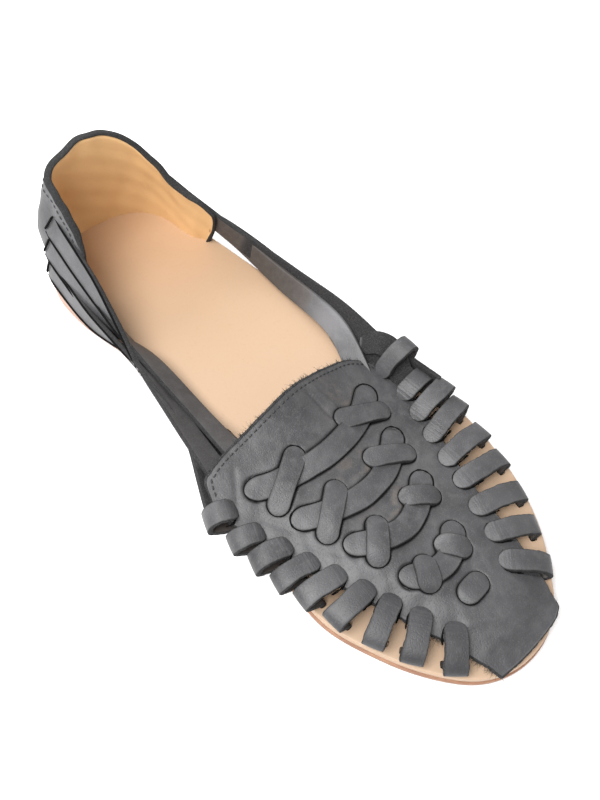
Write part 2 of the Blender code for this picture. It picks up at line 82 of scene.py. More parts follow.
SLIT_SHADE_HALF_WIDTH = 0.0003
SLIT_SHADE_HALF_HEIGHT = 0.0002
FIBRE_GIRTH = 0.0001
STITCH_PITCH = 0.0023
STITCH_LENGTH = 0.0019
STITCH_GIRTH = 0.0003
STITCH_LIFT = 0.00005
STITCH_INSET = 0.0017
STITCH_DROP = 0.0032
ARCH_BACK = 0.216
ARCH_FRONT = 0.592
SPRING_FROM = 0.84
MM = 0.001

# Sole. Columns: along, outer half width, inner half width.
OUTLINE = (
    (0.00, -0.025, 0.025),
    (0.02, 0.193, 0.249),
    (0.06, 0.290, 0.329),
    (0.14, 0.340, 0.343),
    (0.28, 0.405, 0.270),
    (0.42, 0.494, 0.224),
    (0.56, 0.585, 0.287),
    (0.68, 0.614, 0.388),
    (0.78, 0.578, 0.414),
    (0.87, 0.492, 0.334),
    (0.94, 0.360, 0.224),
    (0.98, 0.251, 0.118),
    (1.00, 0.065, -0.065),
)
# Vamp. Columns: along, inner and outer edge across, heights at five places from inner to outer.
VAMP = (
    (0.502, -0.446, 0.440, 0.77, 0.92, 1.06, 0.69, 0.27),
    (0.535, -0.457, 0.462, 0.67, 0.79, 0.90, 0.58, 0.21),
    (0.592, -0.467, 0.478, 0.52, 0.60, 0.65, 0.41, 0.18),
    (0.653, -0.424, 0.457, 0.38, 0.51, 0.47, 0.32, 0.18),
    (0.714, -0.359, 0.408, 0.30, 0.44, 0.39, 0.31, 0.20),
    (0.776, -0.288, 0.370, 0.26, 0.41, 0.36, 0.32, 0.22),
    (0.837, -0.223, 0.342, 0.24, 0.37, 0.35, 0.33, 0.22),
    (0.894, -0.163, 0.321, 0.20, 0.33, 0.335, 0.31, 0.20),
    (0.943, -0.109, 0.293, 0.15, 0.25, 0.28, 0.24, 0.15),
    (0.971, -0.087, 0.266, 0.12, 0.16, 0.18, 0.155, 0.11),
    (0.992, -0.071, 0.245, 0.095, 0.10, 0.105, 0.10, 0.095),
)
# Rear edge of the vamp. Columns: share of the way across, along.
THROAT = (
    (0.00, 0.584),
    (0.02, 0.556),
    (0.06, 0.545),
    (0.11, 0.540),
    (0.23, 0.535),
    (0.44, 0.528),
    (0.60, 0.521),
    (0.77, 0.515),
    (0.92, 0.519),
    (0.97, 0.529),
    (1.00, 0.549),
)
FRONT_INNER = 0.990
FRONT_OUTER = 0.982
FRONT_BULGE = 0.005
FRONT_CORNER = 0.006
# Bands. Columns: along and across at five places from the inner tongue's tip to the outer one's.
BANDS = (
    (0.594, -0.352, 0.613, -0.205, 0.621, -0.010, 0.603, 0.190, 0.565, 0.347),
    (0.664, -0.289, 0.686, -0.157, 0.697, -0.010, 0.684, 0.150, 0.641, 0.299),
    (0.734, -0.199, 0.758, -0.095, 0.768, 0.025, 0.752, 0.140, 0.718, 0.250),
    (0.813, -0.121, 0.833, -0.050, 0.840, 0.030, 0.830, 0.105, 0.802, 0.187),
)
# Pills. Columns: along and across at both ends of the inner one, then of the outer one.
PILLS = (
    (0.590, -0.088, 0.644, -0.317, 0.588, 0.105, 0.612, 0.345),
    (0.659, -0.048, 0.717, -0.242, 0.655, 0.093, 0.690, 0.290),
    (0.730, -0.026, 0.787, -0.156, 0.729, 0.093, 0.764, 0.228),
    (0.810, -0.004, 0.858, -0.070, 0.809, 0.068, 0.850, 0.155),
)
TOE_PILL = (0.885, 0.122, 0.890, -0.012)
# Edge loops. Columns: along and across at the tip and at the outermost bend, height of the bend,
# rise of the crest over the tip.
INNER_LOOPS = (
    (0.606, -0.417, 0.590, -0.520, 0.40, 0.16),
    (0.651, -0.388, 0.636, -0.500, 0.34, 0.14),
    (0.688, -0.340, 0.675, -0.483, 0.31, 0.12),
    (0.725, -0.301, 0.714, -0.464, 0.29, 0.11),
    (0.760, -0.255, 0.752, -0.434, 0.25, 0.09),
    (0.797, -0.212, 0.800, -0.397, 0.22, 0.08),
    (0.827, -0.177, 0.855, -0.342, 0.19, 0.07),
    (0.863, -0.132, 0.902, -0.276, 0.14, 0.05),
    (0.904, -0.080, 0.949, -0.188, 0.12, 0.05),
)
OUTER_LOOPS = (
    (0.556, 0.445, 0.558, 0.592, 0.50, 0.42),
    (0.606, 0.434, 0.602, 0.568, 0.27, 0.16),
    (0.645, 0.407, 0.636, 0.607, 0.29, 0.18),
    (0.685, 0.374, 0.672, 0.594, 0.25, 0.12),
    (0.726, 0.342, 0.724, 0.575, 0.19, 0.07),
    (0.763, 0.315, 0.775, 0.549, 0.15, 0.05),
    (0.805, 0.279, 0.829, 0.502, 0.13, 0.05),
    (0.845, 0.248, 0.878, 0.438, 0.12, 0.05),
    (0.883, 0.209, 0.931, 0.352, 0.12, 0.05),
)
# Side straps. Columns: along, across, height over the forefoot's footbed, outward lean in degrees.
INNER_STRAPS = (
    ((0.068, -0.266, 1.38, -30), (0.200, -0.288, 0.97, -18), (0.330, -0.303, 0.49, 46),
     (0.460, -0.348, 0.48, 55), (0.590, -0.382, 0.48, 78)),
    ((0.060, -0.297, 0.92, -26), (0.200, -0.311, 0.62, -16), (0.330, -0.276, 0.53, 50),
     (0.460, -0.258, 0.33, 58), (0.600, -0.262, 0.485, 84)),
    ((0.064, -0.322, 0.54, -22), (0.200, -0.339, 0.46, -8), (0.330, -0.308, 0.49, 40),
     (0.460, -0.335, 0.38, 44), (0.590, -0.474, 0.46, 50)),
)
OUTER_STRAPS = (
    ((0.078, 0.262, 1.20, -2), (0.200, 0.350, 0.80, 8), (0.330, 0.436, 0.56, 24),
     (0.460, 0.492, 0.45, 38), (0.590, 0.505, 0.25, 60)),
    ((0.070, 0.276, 0.86, -4), (0.200, 0.366, 0.71, 6), (0.330, 0.410, 0.49, 25),
     (0.450, 0.440, 0.36, 42), (0.560, 0.352, 0.19, 72)),
    ((0.062, 0.284, 0.54, 0), (0.200, 0.382, 0.66, 4), (0.330, 0.452, 0.45, 20),
     (0.460, 0.505, 0.34, 12), (0.625, 0.588, 0.24, 2)),
)
# Strap ends that show between the straps and the vamp's rear corners, with the same columns.
TUCKS = (
    ((0.455, -0.300, 0.24, 60), (0.500, -0.310, 0.22, 70), (0.545, -0.335, 0.24, 78),
     (0.600, -0.370, 0.34, 84)),
    ((0.500, 0.478, 0.30, 60), (0.525, 0.505, 0.50, 50), (0.552, 0.520, 0.44, 60),
     (0.590, 0.490, 0.16, 80)),
    ((0.495, 0.395, 0.16, 70), (0.520, 0.425, 0.22, 72), (0.545, 0.455, 0.20, 76),
     (0.575, 0.475, 0.12, 80)),
)
# Wear and painted light of the straps, as shares of their length and strengths. Columns: strength of the
# flesh side's suede, where the inner face turns to grain, where the dark end starts, its strength (a fibrous
# end, and painted shade on the tucks and the first straps), where the dark cut edges start, middle of the
# painted highlight, its strength.
INNER_WEAR_AND_PAINTED_LIGHT = (
    (0.70, 2.0, 0.60, 0.5, -1.0, 0.12, 0.12),
    (0.70, 2.0, 2.00, 1.0, -1.0, 0.12, 0.12),
    (0.70, 2.0, 0.84, 1.0, -1.0, 0.12, 0.12),
)
TUCK_WEAR_AND_PAINTED_LIGHT = (
    (0.20, 2.0, 0.00, 1.0, -1.0, 0.50, 0.00),
    (0.30, 2.0, 0.00, 1.0, -1.0, 0.50, 0.00),
    (0.30, 2.0, 0.00, 1.0, -1.0, 0.50, 0.00),
)
OUTER_WEAR_AND_PAINTED_LIGHT = (
    (1.00, 2.00, 0.30, 0.72, -1.0, 0.72, 0.00),
    (1.00, 0.59, 2.00, 1.00, 0.58, 0.72, 0.42),
    (0.30, 2.00, 0.40, 1.00, -1.0, 0.72, 0.00),
)
# Round-ended slots in the footbed. Columns: along, across, turn in degrees.
EYES = (
    (0.492, -0.208, -4),
    (0.452, 0.440, 14),
)
# Heel counter. Columns: angle about the heel's middle in degrees, share of COUNTER_HEIGHT.
COUNTER = (
    (-27, 0.38),
    (-22, 0.45),
    (-10, 0.49),
    (5, 0.55),
    (30, 0.71),
    (60, 0.92),
    (90, 1.00),
    (120, 0.95),
    (150, 0.82),
    (165, 0.74),
    (176, 0.67),
    (187, 0.58),
    (194, 0.50),
    (197, 0.42),
)
# Columns: height and inward lean of the counter, as shares of COUNTER_HEIGHT.
COUNTER_LEAN = (
    (0.0, 0.000),
    (0.3, 0.018),
    (0.6, 0.065),
    (1.0, 0.135),
)
# The same at the heel's inner corner, where the wall swells out over the sole.
SWELL_LEAN = (
    (0.0, 0.000),
    (0.1, -0.035),
    (0.25, -0.060),
    (0.42, -0.045),
    (0.62, 0.020),
    (1.0, 0.160),
)
COUNTER_SLANT = 10.0
# Creases of the vamp. Columns: along and across at both ends, width and depth
# in millimetres; a negative depth is a ridge.
CREASES = (
    (0.536, 0.075, 0.584, 0.105, 1.5, 0.60),
    (0.530, 0.105, 0.580, 0.150, 2.2, -0.40),
    (0.556, 0.020, 0.586, 0.085, 1.6, 0.30),
    (0.560, -0.330, 0.600, -0.400, 2.4, 0.30),
    (0.545, 0.300, 0.575, 0.420, 2.2, 0.30),
    (0.640, 0.230, 0.660, 0.330, 2.0, 0.22),
    (0.630, -0.380, 0.690, -0.270, 3.0, 0.28),
    (0.700, -0.300, 0.760, -0.190, 2.6, 0.24),
    (0.880, -0.020, 0.930, 0.160, 4.0, 0.25),
    (0.915, -0.060, 0.950, 0.120, 3.2, -0.22),
    (0.955, -0.060, 0.960, 0.200, 3.0, -0.20),
)
# Brown rubs of the vamp. Columns: X, Y, reach along X and along Y in millimetres, strength.
RUBS = (
    (18, -104, 9, 9, 1.0),
    (4, -132, 18, 12, 1.0),
    (8, -150, 12, 8, 0.8),
)
# Relief of the vamp round a strip's outline and round a loop's tip. Columns: distance from it,
# reach and height, in millimetres.
STRIP_RELIEF = (
    (1.3, 1.2, 0.10),
    (0.0, 0.45, -0.45),
)
LOOP_RELIEF = (
    (0.0, 2.4, -0.30),
    (4.6, 1.4, 0.05),
)


def between_two(k, low, high, low_slope, high_slope):
    """Cubic from one value to the next at a share k of the step, with their slopes over the step."""
    return ((2 * k**3 - 3 * k**2 + 1) * low + (k**3 - 2 * k**2 + k) * low_slope
            + (3 * k**2 - 2 * k**3) * high + (k**3 - k**2) * high_slope)


def curve(table, column, where):
    """Cubic curve through one column of a table, with slopes taken between its neighbours."""
    xs = np.array([row[0] for row in table], dtype=float)
    ys = np.array([row[column] for row in table], dtype=float)
    slopes = np.gradient(ys, xs)
    where = np.clip(np.asarray(where, dtype=float), xs[0], xs[-1])
    i = np.clip(np.searchsorted(xs, where) - 1, 0, len(xs) - 2)
    step = xs[i + 1] - xs[i]
    return between_two((where - xs[i]) / step, ys[i], ys[i + 1], step * slopes[i], step * slopes[i + 1])


def through(knots, places):
    """Smooth path through knots at even steps: one array for each of the knots' columns."""
    rows = [(s,) + tuple(k) for s, k in zip(np.linspace(0, 1, len(knots)), knots)]
    return [curve(rows, c, places) for c in range(1, len(rows[0]))]


def ease(k):
    """Smooth step from 0 to 1."""
    k = np.clip(k, 0.0, 1.0)
    return k * k * (3 - 2 * k)


def unit(v):
    """Vectors scaled to length one."""
    return v / np.maximum(np.linalg.norm(v, axis=-1, keepdims=True), 1e-12)


def outline(along):
    """Outer and inner half widths of the sole, read by the angle round its length."""
    turn = [(math.acos(1 - 2 * row[0]),) + row[1:] for row in OUTLINE]
    place = np.arccos(1 - 2 * np.clip(along, 0.0, 1.0))
    return curve(turn, 1, place) * BALL_WIDTH, curve(turn, 2, place) * BALL_WIDTH


def sole_rise(along):
    """Height of the outsole's underside: heel rise eased out over the arch, square toe spring."""
    heel = HEEL_RISE * ease((ARCH_FRONT - along) / (ARCH_FRONT - ARCH_BACK))
    toe = TOE_SPRING * np.clip((along - SPRING_FROM) / (1 - SPRING_FROM), 0.0, 1.0) ** 2
    return heel + toe


def footbed_top(along):
    """Height of the footbed's upper face."""
    return sole_rise(along) + OUTSOLE_THICK + SEAM_GAP + FOOTBED_THICK


def along_of(y):
    """Share of the length at a Y."""
    return (HEEL_SEAT - y) / LENGTH


def y_of(along):
    """Y at a share of the length."""
    return HEEL_SEAT - along * LENGTH


def plan(along, across):
    """X and Y of a place on the shoe."""
    return across * BALL_WIDTH, y_of(along)


def run_of(path):
    """Length of a path from its start to each of its points."""
    return np.concatenate([[0], np.cumsum(np.linalg.norm(np.diff(path, axis=0), axis=1))])


def read(values, run, at):
    """Rows of values along a path, read at given lengths of its run."""
    return np.stack([np.interp(at, run, column) for column in values.T], -1)


def evened(path, count):
    """The same path with its points at even steps."""
    run = run_of(path)
    return read(path, run, np.linspace(0, run[-1], count))


def plan_line(knots, places):
    """Line through knots of along and across: its points in the plan, their run and headings."""
    line = np.column_stack(plan(*through(knots, places)))
    run = run_of(line)
    return line, run, unit(np.gradient(line, run, axis=0))


def left_of(heading):
    """Directions to the left of headings in the plan."""
    return np.stack([-heading[..., 1], heading[..., 0]], -1)


def vamp_top(x, y):
    """Height of the vamp: a cubic curve across each section's five heights, blended along."""
    along = along_of(y)
    inner = curve(VAMP, 1, along) * BALL_WIDTH
    outer = curve(VAMP, 2, along) * BALL_WIDTH
    share = np.clip((x - inner) / (outer - inner), 0.0, 1.0) * 4
    heights = np.stack([curve(VAMP, 3 + k, along) for k in range(5)])
    slopes = np.gradient(heights, axis=0)
    i = np.clip(np.floor(share).astype(int), 0, 3)
    low, high = (i, *np.indices(i.shape)), (i + 1, *np.indices(i.shape))
    height = between_two(share - i, heights[low], heights[high], slopes[low], slopes[high])
    return footbed_top(along) + height * INSTEP_HEIGHT


def vamp_up(x, y, step=1.5 * MM):
    """Unit normal of the vamp from height differences a step away on each side."""
    dx = (vamp_top(x + step, y) - vamp_top(x - step, y)) / (2 * step)
    dy = (vamp_top(x, y + step) - vamp_top(x, y - step)) / (2 * step)
    return unit(np.stack([-dx, -dy, np.ones_like(dx)], -1))


def over_vamp(x, y, up, lift):
    """Points lifted from the vamp's surface along its normals."""
    return np.stack([x, y, vamp_top(x, y)], -1) + up * np.asarray(lift)[..., None]


def waves(x, y, size, seed):
    """Gentle unevenness between -1 and 1: eight sine waves of about one size, turned at random."""
    source = np.random.default_rng(seed)
    total = np.zeros(np.broadcast(x, y).shape)
    for _ in range(8):
        turn, phase = source.uniform(0, 2 * math.pi), source.uniform(0, 2 * math.pi)
        pace = 2 * math.pi / (size * source.uniform(0.7, 1.5))
        total += np.sin((x * math.cos(turn) + y * math.sin(turn)) * pace + phase)
    return total / 8 ** 0.5 / 1.4


def grid_quads(rows, cols, closed=False):
    """Corner numbers of a grid's faces; a closed grid also joins its last column to its first."""
    r, c = np.meshgrid(np.arange(rows - 1), np.arange(cols if closed else cols - 1), indexing="ij")
    c2 = (c + 1) % cols
    return np.stack([r * cols + c, (r + 1) * cols + c, (r + 1) * cols + c2, r * cols + c2], -1).reshape(-1, 4)


def make_mesh(name, points, quads, triangles=None, uv=None, marks=None):
    """Mesh object at the origin from whole arrays, turned so that a closed one encloses space."""
    points = np.asarray(points, dtype=float).reshape(-1, 3)
    quads = np.asarray(quads, dtype=int).reshape(-1, 4)
    triangles = np.zeros((0, 3), int) if triangles is None else np.asarray(triangles, int).reshape(-1, 3)
    every = np.vstack([quads[:, [0, 1, 2]], quads[:, [0, 2, 3]], triangles])
    a, b, c = (points[every[:, k]] for k in range(3))
    if np.einsum("ij,ij->i", a, np.cross(b, c)).sum() < 0:
        quads = quads[:, ::-1]
        triangles = triangles[:, ::-1]
    corners = np.concatenate([quads.ravel(), triangles.ravel()])
    sizes = np.concatenate([np.full(len(quads), 4), np.full(len(triangles), 3)])
    starts = np.concatenate([[0], np.cumsum(sizes)[:-1]])
    mesh = bpy.data.meshes.new(name)
    mesh.vertices.add(len(points))
    mesh.vertices.foreach_set("co", points.ravel())
    mesh.loops.add(len(corners))
    mesh.loops.foreach_set("vertex_index", corners)
    mesh.polygons.add(len(sizes))
    mesh.polygons.foreach_set("loop_start", starts)
    mesh.polygons.foreach_set("use_smooth", np.ones(len(sizes), bool))
    mesh.update(calc_edges=True)
    if uv is not None:
        layer = mesh.uv_layers.new(name="UVMap")
        layer.data.foreach_set("uv", np.asarray(uv, float).reshape(-1, 2)[corners].ravel())
    for key, values in (marks or {}).items():
        attribute = mesh.attributes.new(key, "FLOAT", "POINT")
        attribute.data.foreach_set("value", np.asarray(values, float).ravel())
    mesh.validate()
    piece = bpy.data.objects.new(name, mesh)
    bpy.context.scene.collection.objects.link(piece)
    return piece


def dress(piece, finish, node="upper"):
    """Puts a finished piece on the shoe in place of a node, with its material."""
    piece.data.materials.clear()
    piece.data.materials.append(finish)
    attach(piece, "root")
    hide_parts(node)


def strip_section(widths, thick, corner, crown):
    """Section of a leather strip for each width: domed grain side, rounded cut edges, flat flesh side.

    Returns offsets to the side and up, and how far each point is on a cut edge and on the flesh."""
    top = np.linspace(-1, 1, 11)
    bend = np.radians([15, 40, 65, 90])
    low = np.radians([115, 150])
    flat = np.linspace(1, -1, 5)
    half = np.asarray(widths, float)[:, None] / 2
    r = np.minimum(corner, half * 0.9)
    inner = half - r
    dome = crown * (half / (np.max(half) + 1e-12))
    side = np.hstack([inner * top, inner + r * np.sin(bend), inner + r * np.sin(low),
                      inner * flat, -inner - r * np.sin(low[::-1]), -inner - r * np.sin(bend[::-1])])
    rise = thick / 2 + dome * (1 - top**2)
    fall = thick / 2 - r + r * np.cos(bend)
    under = -thick / 2 + r + r * np.cos(low)
    up = np.hstack([rise + 0 * inner, fall, under, -thick / 2 + 0 * inner * flat,
                    under[:, ::-1], fall[:, ::-1]])
    cut = np.concatenate([(0.42,), np.zeros(9), (0.42,), (0.6, 0.8, 1, 1), (1, 0.8), np.zeros(5), (0.8, 1),
                          (1, 1, 0.8, 0.6)])
    flesh = np.concatenate([np.zeros(11), np.zeros(4), (0.3, 0.8), np.ones(5), (0.8, 0.3), np.zeros(4)])
    return side, up, cut, flesh


def close_ends(rows, cols):
    """Triangles that close both ends of a tube as flat fans."""
    fan = np.stack([np.zeros(cols - 2, int), np.arange(1, cols - 1), np.arange(2, cols)], -1)
    return np.vstack([fan[:, ::-1], fan + (rows - 1) * cols])


def tube(name, grid, uv=None, marks=None):
    """Tube from its rings of points, with both ends closed."""
    size = grid.shape[:2]
    marks = {key: np.broadcast_to(values, size) for key, values in (marks or {}).items()}
    return make_mesh(name, grid, grid_quads(*size, closed=True), close_ends(*size), uv, marks)


def strip(name, grid, run, widths, marks):
    """Leather strip from its rings of points, with a UV map in metres along and across it."""
    uv = np.broadcast_arrays(run[:, None], np.linspace(-0.5, 0.5, grid.shape[1]) * widths[:, None])
    return tube(name, grid, np.stack(uv, -1), marks)


def tip_widths(places, reach, width, start=1.0, end=1.0, least=0.06):
    """Width along a strip with rounded ends, each as long as half the width times its own factor."""
    near = places * 0 + 1.0
    if start:
        near = np.minimum(near, places * reach / (width / 2 * start))
    if end:
        near = np.minimum(near, (1 - places) * reach / (width / 2 * end))
    return width * np.maximum(np.sqrt(1 - (1 - near) ** 2), least)


def tip_places(count, crowd=0.75):
    """Places along a strip, closer together near both ends."""
    even = np.linspace(0, 1, count)
    return (1 - crowd) * even + crowd * (1 - np.cos(even * math.pi)) / 2


def laid_strip(name, knots, width, heights, thick, crown, finish, count=64, start=1.0, end=1.0, seed=0):
    """Strip laid on the vamp: each point of its section is set over the vamp's own surface.

    heights are knots of the strip's middle over the vamp, in millimetres, at even steps."""
    line, run, heading = plan_line(knots, tip_places(count))
    left = left_of(heading)
    places = run / run[-1]
    widths = tip_widths(places, run[-1], width, start, end)
    widths = widths * (1 + 0.025 * waves(run, 0 * run, 9 * MM, seed))
    side, rise, cut, flesh = strip_section(widths, thick, EDGE_ROUND, crown)
    lift = curve(list(zip(np.linspace(0, 1, len(heights)), heights)), 1, places) * MM
    x = line[:, :1] + left[:, :1] * side
    y = line[:, 1:] + left[:, 1:] * side
    over = lift[:, None] + rise - thick / 2 + 0.10 * MM * waves(x, y, 7 * MM, seed + 5)
    points = over_vamp(x, y, vamp_up(x, y), over)
    dress(strip(name, points, run, widths, {"cut": cut, "flesh": flesh}), finish)


def strips():
    """The bands, pills and toe pill: knots, width, share of each end in a slit, rounding of the ends."""
    bands = [([row[k:k + 2] for k in range(0, 10, 2)], BAND_WIDTH, (0.30, 0.27), (1.5, 1.15))
             for row in BANDS]
    pills = [((row[k:k + 2], row[k + 2:k + 4]), PILL_WIDTH, (0.30, 0.30), (1.0, 1.0))
             for row in PILLS for k in (0, 4)]
    return bands + pills + [((TOE_PILL[:2], TOE_PILL[2:]), PILL_WIDTH, (0.36, 0.36), (1.0, 1.0))]


def strip_lines():
    """Centre lines of the bands and pills in the plan, each with its half width, in metres."""
    lines = []
    for knots, width, *_ in strips():
        line, run, _ = plan_line(knots, np.linspace(0, 1, 40))
        keep = (run >= width / 2) & (run <= run[-1] - width / 2)
        lines.append((line[keep, 0], line[keep, 1], width / 2))
    return lines


def edge_distance(x, y, line):
    """Distance from a strip's rounded outline, negative inside it."""
    lx, ly, half = line
    gaps = np.hypot(x[..., None] - lx, y[..., None] - ly)
    return gaps.min(-1) - half


def line_shape(x, y, x0, y0, x1, y1, width):
    """Soft bar from one point to another: 1 on its middle line, 0 past its width."""
    dx, dy = x1 - x0, y1 - y0
    k = ((x - x0) * dx + (y - y0) * dy) / (dx * dx + dy * dy)
    off = np.hypot(x - x0 - dx * np.clip(k, 0, 1), y - y0 - dy * np.clip(k, 0, 1))
    return np.exp(-(off / (width * 0.5)) ** 2) * ease((0.5 - abs(k - 0.5)) * 4 + 0.6)


def swells(distance, table):
    """Sum of the soft swells and troughs of a table of relief, in metres."""
    return sum(row[2] * MM * np.exp(-((distance / MM - row[0]) / row[1]) ** 2) for row in table)


def vamp_relief_and_shade(x, y):
    """Height that the weave and wear add to the vamp, and the painted shade beside strips and loops.

    A slit sinks along each strip's outline, the leather swells beside it and is pressed under it.
    It also sinks where a loop comes out, and follows the creases."""
    lift = 0.20 * MM * waves(x, y, 17 * MM, 3) + 0.05 * MM * waves(x, y, 5 * MM, 4)
    near = np.full(x.shape, 1.0)
    for line in strip_lines():
        gap = edge_distance(x, y, line)
        near = np.minimum(near, np.abs(gap))
        lift += swells(gap, STRIP_RELIEF) - 0.35 * MM * ease(-gap / (1.5 * MM))
    for row in CREASES:
        ends = (*plan(row[0], row[1]), *plan(row[2], row[3]))
        lift -= row[5] * MM * line_shape(x, y, *ends, row[4] * MM)
    soft = near
    for row in INNER_LOOPS + OUTER_LOOPS:
        tip, bend = (np.array(plan(*row[k:k + 2])) for k in (0, 2))
        half = LOOP_WIDTH / 2
        run = np.linspace(half / np.hypot(*(bend - tip)), 1, 12)
        away = edge_distance(x, y, (*(tip + (bend - tip) * run[:, None]).T, half))
        near = np.where(away > 0, np.minimum(near, away + 0.25 * MM), near)
        soft = np.minimum(soft, np.abs(away))
        lift += swells(np.hypot(x - tip[0], y - tip[1]), LOOP_RELIEF)
    # Painted shade: a dark line close round each strip's and loop's outline, and a weaker, broader darkening
    # beside them.
    return lift, np.maximum(np.exp(-(near / (0.70 * MM)) ** 2), 0.26 * np.exp(-(soft / (1.2 * MM)) ** 2))


def cut_rim(top, low):
    """Rings of a rounded cut edge between two rims, bulging outwards in the middle."""
    way = unit(np.roll(top, -1, 0) - np.roll(top, 1, 0))
    out = unit(np.cross(way, unit(top - low)))
    if (out * (top - top.mean(0))).sum() < 0:
        out = -out
    bulge = VAMP_THICK * 0.28 * (1 + 0.25 * waves(top[:, 0], top[:, 1], 2.2 * MM, 9))
    return [top + (low - top) * (1 - math.cos(turn)) / 2 + out * (bulge * math.sin(turn))[:, None]
            for turn in np.radians([35, 70, 110, 145])]


def make_vamp(finish):
    """Vamp: the sections' surface with its relief, a wall behind it and a rounded cut rim.

    A point is set by its share across and its share from the rear edge to the front edge."""
    rows, cols = 200, 168
    u = np.linspace(0, 1, cols)
    u = 0.75 * u + 0.25 * (1 - np.cos(u * math.pi)) / 2
    v = np.linspace(0, 1, rows)[:, None]
    front = FRONT_INNER + (FRONT_OUTER - FRONT_INNER) * u + FRONT_BULGE * 4 * u * (1 - u)
    front = front - FRONT_CORNER * np.clip((u - 0.88) / 0.12, 0, 1) ** 2
    along = curve(THROAT, 1, u) * (1 - v) + front * v
    inner, outer = curve(VAMP, 1, along), curve(VAMP, 2, along)
    x, y = plan(along, inner + (outer - inner) * u)
    x = x + 0.35 * MM * waves(y, 0 * y, 9 * MM, 8) * (np.abs(u - 0.5) * 2) ** 12
    normal = vamp_up(x, y)
    # slot is the painted shade beside strips and loops, kept as a mark for the leather.
    relief, slot = vamp_relief_and_shade(x, y)
    top = over_vamp(x, y, normal, relief)
    low = over_vamp(x, y, normal, -VAMP_THICK)
    rim = np.concatenate([np.arange(cols), np.arange(1, rows) * cols + cols - 1,
                          (rows - 1) * cols + np.arange(cols - 2, -1, -1), np.arange(rows - 2, 0, -1) * cols])
    count, base = len(rim), rows * cols
    faces = [top.reshape(-1, 3), low.reshape(-1, 3)]
    points = np.vstack([*faces, *cut_rim(faces[0][rim], faces[1][rim])])
    face = grid_quads(rows, cols)
    quads = [face, face[:, ::-1] + base]
    chain = [rim] + [2 * base + k * count + np.arange(count) for k in range(4)] + [rim + base]
    for first, second in zip(chain[:-1], chain[1:]):
        quads.append(np.stack([first, second, np.roll(second, -1), np.roll(first, -1)], -1))
    quads = np.vstack(quads)
    if np.cross(top[0, 1] - top[0, 0], top[1, 0] - top[0, 0])[2] > 0:
        quads[:len(face) * 2] = quads[:len(face) * 2, ::-1]
    border = np.minimum(np.minimum(u, 1 - u) * 90, np.minimum(v, 1 - v) * 110)
    rub = sum(row[4] * np.exp(-((x / MM - row[0]) / row[2]) ** 2 - ((y / MM - row[1]) / row[3]) ** 2)
              for row in RUBS)
    worn = 0.5 * np.exp(-(border / 0.35) ** 2)
    rest = np.zeros(base + 4 * count)
    marks = {"cut": np.concatenate([worn.ravel(), rest[:base], np.ones(4 * count)]),
             "flesh": np.concatenate([rest[:base], np.ones(base), np.repeat([0, 0.2, 0.5, 0.9], count)]),
             "rub": np.concatenate([rub.ravel(), rest]), "slot": np.concatenate([slot.ravel(), rest])}
    dress(make_mesh("vamp", points, quads, None, points[:, :2], marks), finish)


def make_weave(finish):
    """Four bands with their tongues let into the vamp, the pills across them, and the toe pill."""
    *pairs, toe = strips()[len(BANDS):]
    for i, (knots, width, _, ends) in enumerate(strips()[:len(BANDS)]):
        laid_strip(f"band_{i + 1}", knots, width, (0.0, 0.32, 0.55, 1.25, 1.45, 1.25, 0.55, 0.32, 0.0),
                   BAND_THICK, 0.16 * MM, finish, 90, *ends, 20 + i)
    for i, (knots, width, *_) in enumerate(pairs):
        laid_strip(f"pill_{('inner', 'outer')[i % 2]}_{i // 2 + 1}", knots, width,
                   (0.15, 1.15, 1.85, 2.2, 2.2, 1.85, 1.1, 0.15), PILL_THICK, 0.18 * MM, finish,
                   seed=40 + i // 2)
    laid_strip("pill_toe", toe[0], PILL_WIDTH, (-0.1, 0.75, 1.0, 1.05, 1.0, 0.75, -0.1), BAND_THICK, 0.2 * MM,
               finish, 56, seed=49)


def around(spine, side, up, wide, high, sides):
    """Rings of points round a spine: ellipses with half widths wide and half heights high."""
    turns = np.linspace(0, 2 * math.pi, sides, endpoint=False)
    return (spine[..., None, :] + side[..., None, :] * (wide[..., None] * np.cos(turns))[..., None]
            + up[..., None, :] * (high[..., None] * np.sin(turns))[..., None])


def rope_along(path, wide, high, ups, sides=6):
    """Grid of a closed flattened tube along a path, with tapered ends."""
    way = unit(np.gradient(path, axis=0))
    side = unit(np.cross(way, ups))
    ends = np.minimum(np.arange(len(path)), np.arange(len(path))[::-1])
    taper = np.sqrt(np.clip((ends + 0.15) / 2.0, 0, 1))
    return around(path, side, unit(np.cross(side, way)), wide * taper, high * taper, sides)


def tubes_piece(name, grids, finish):
    """Several closed tubes of the same grid size as one piece."""
    count, rows, cols = grids.shape[:3]
    shift = (np.arange(count) * rows * cols)[:, None, None]
    dress(make_mesh(name, grids, grid_quads(rows, cols, closed=True) + shift,
                    close_ends(rows, cols) + shift, np.zeros((grids.size // 3, 2))), finish)


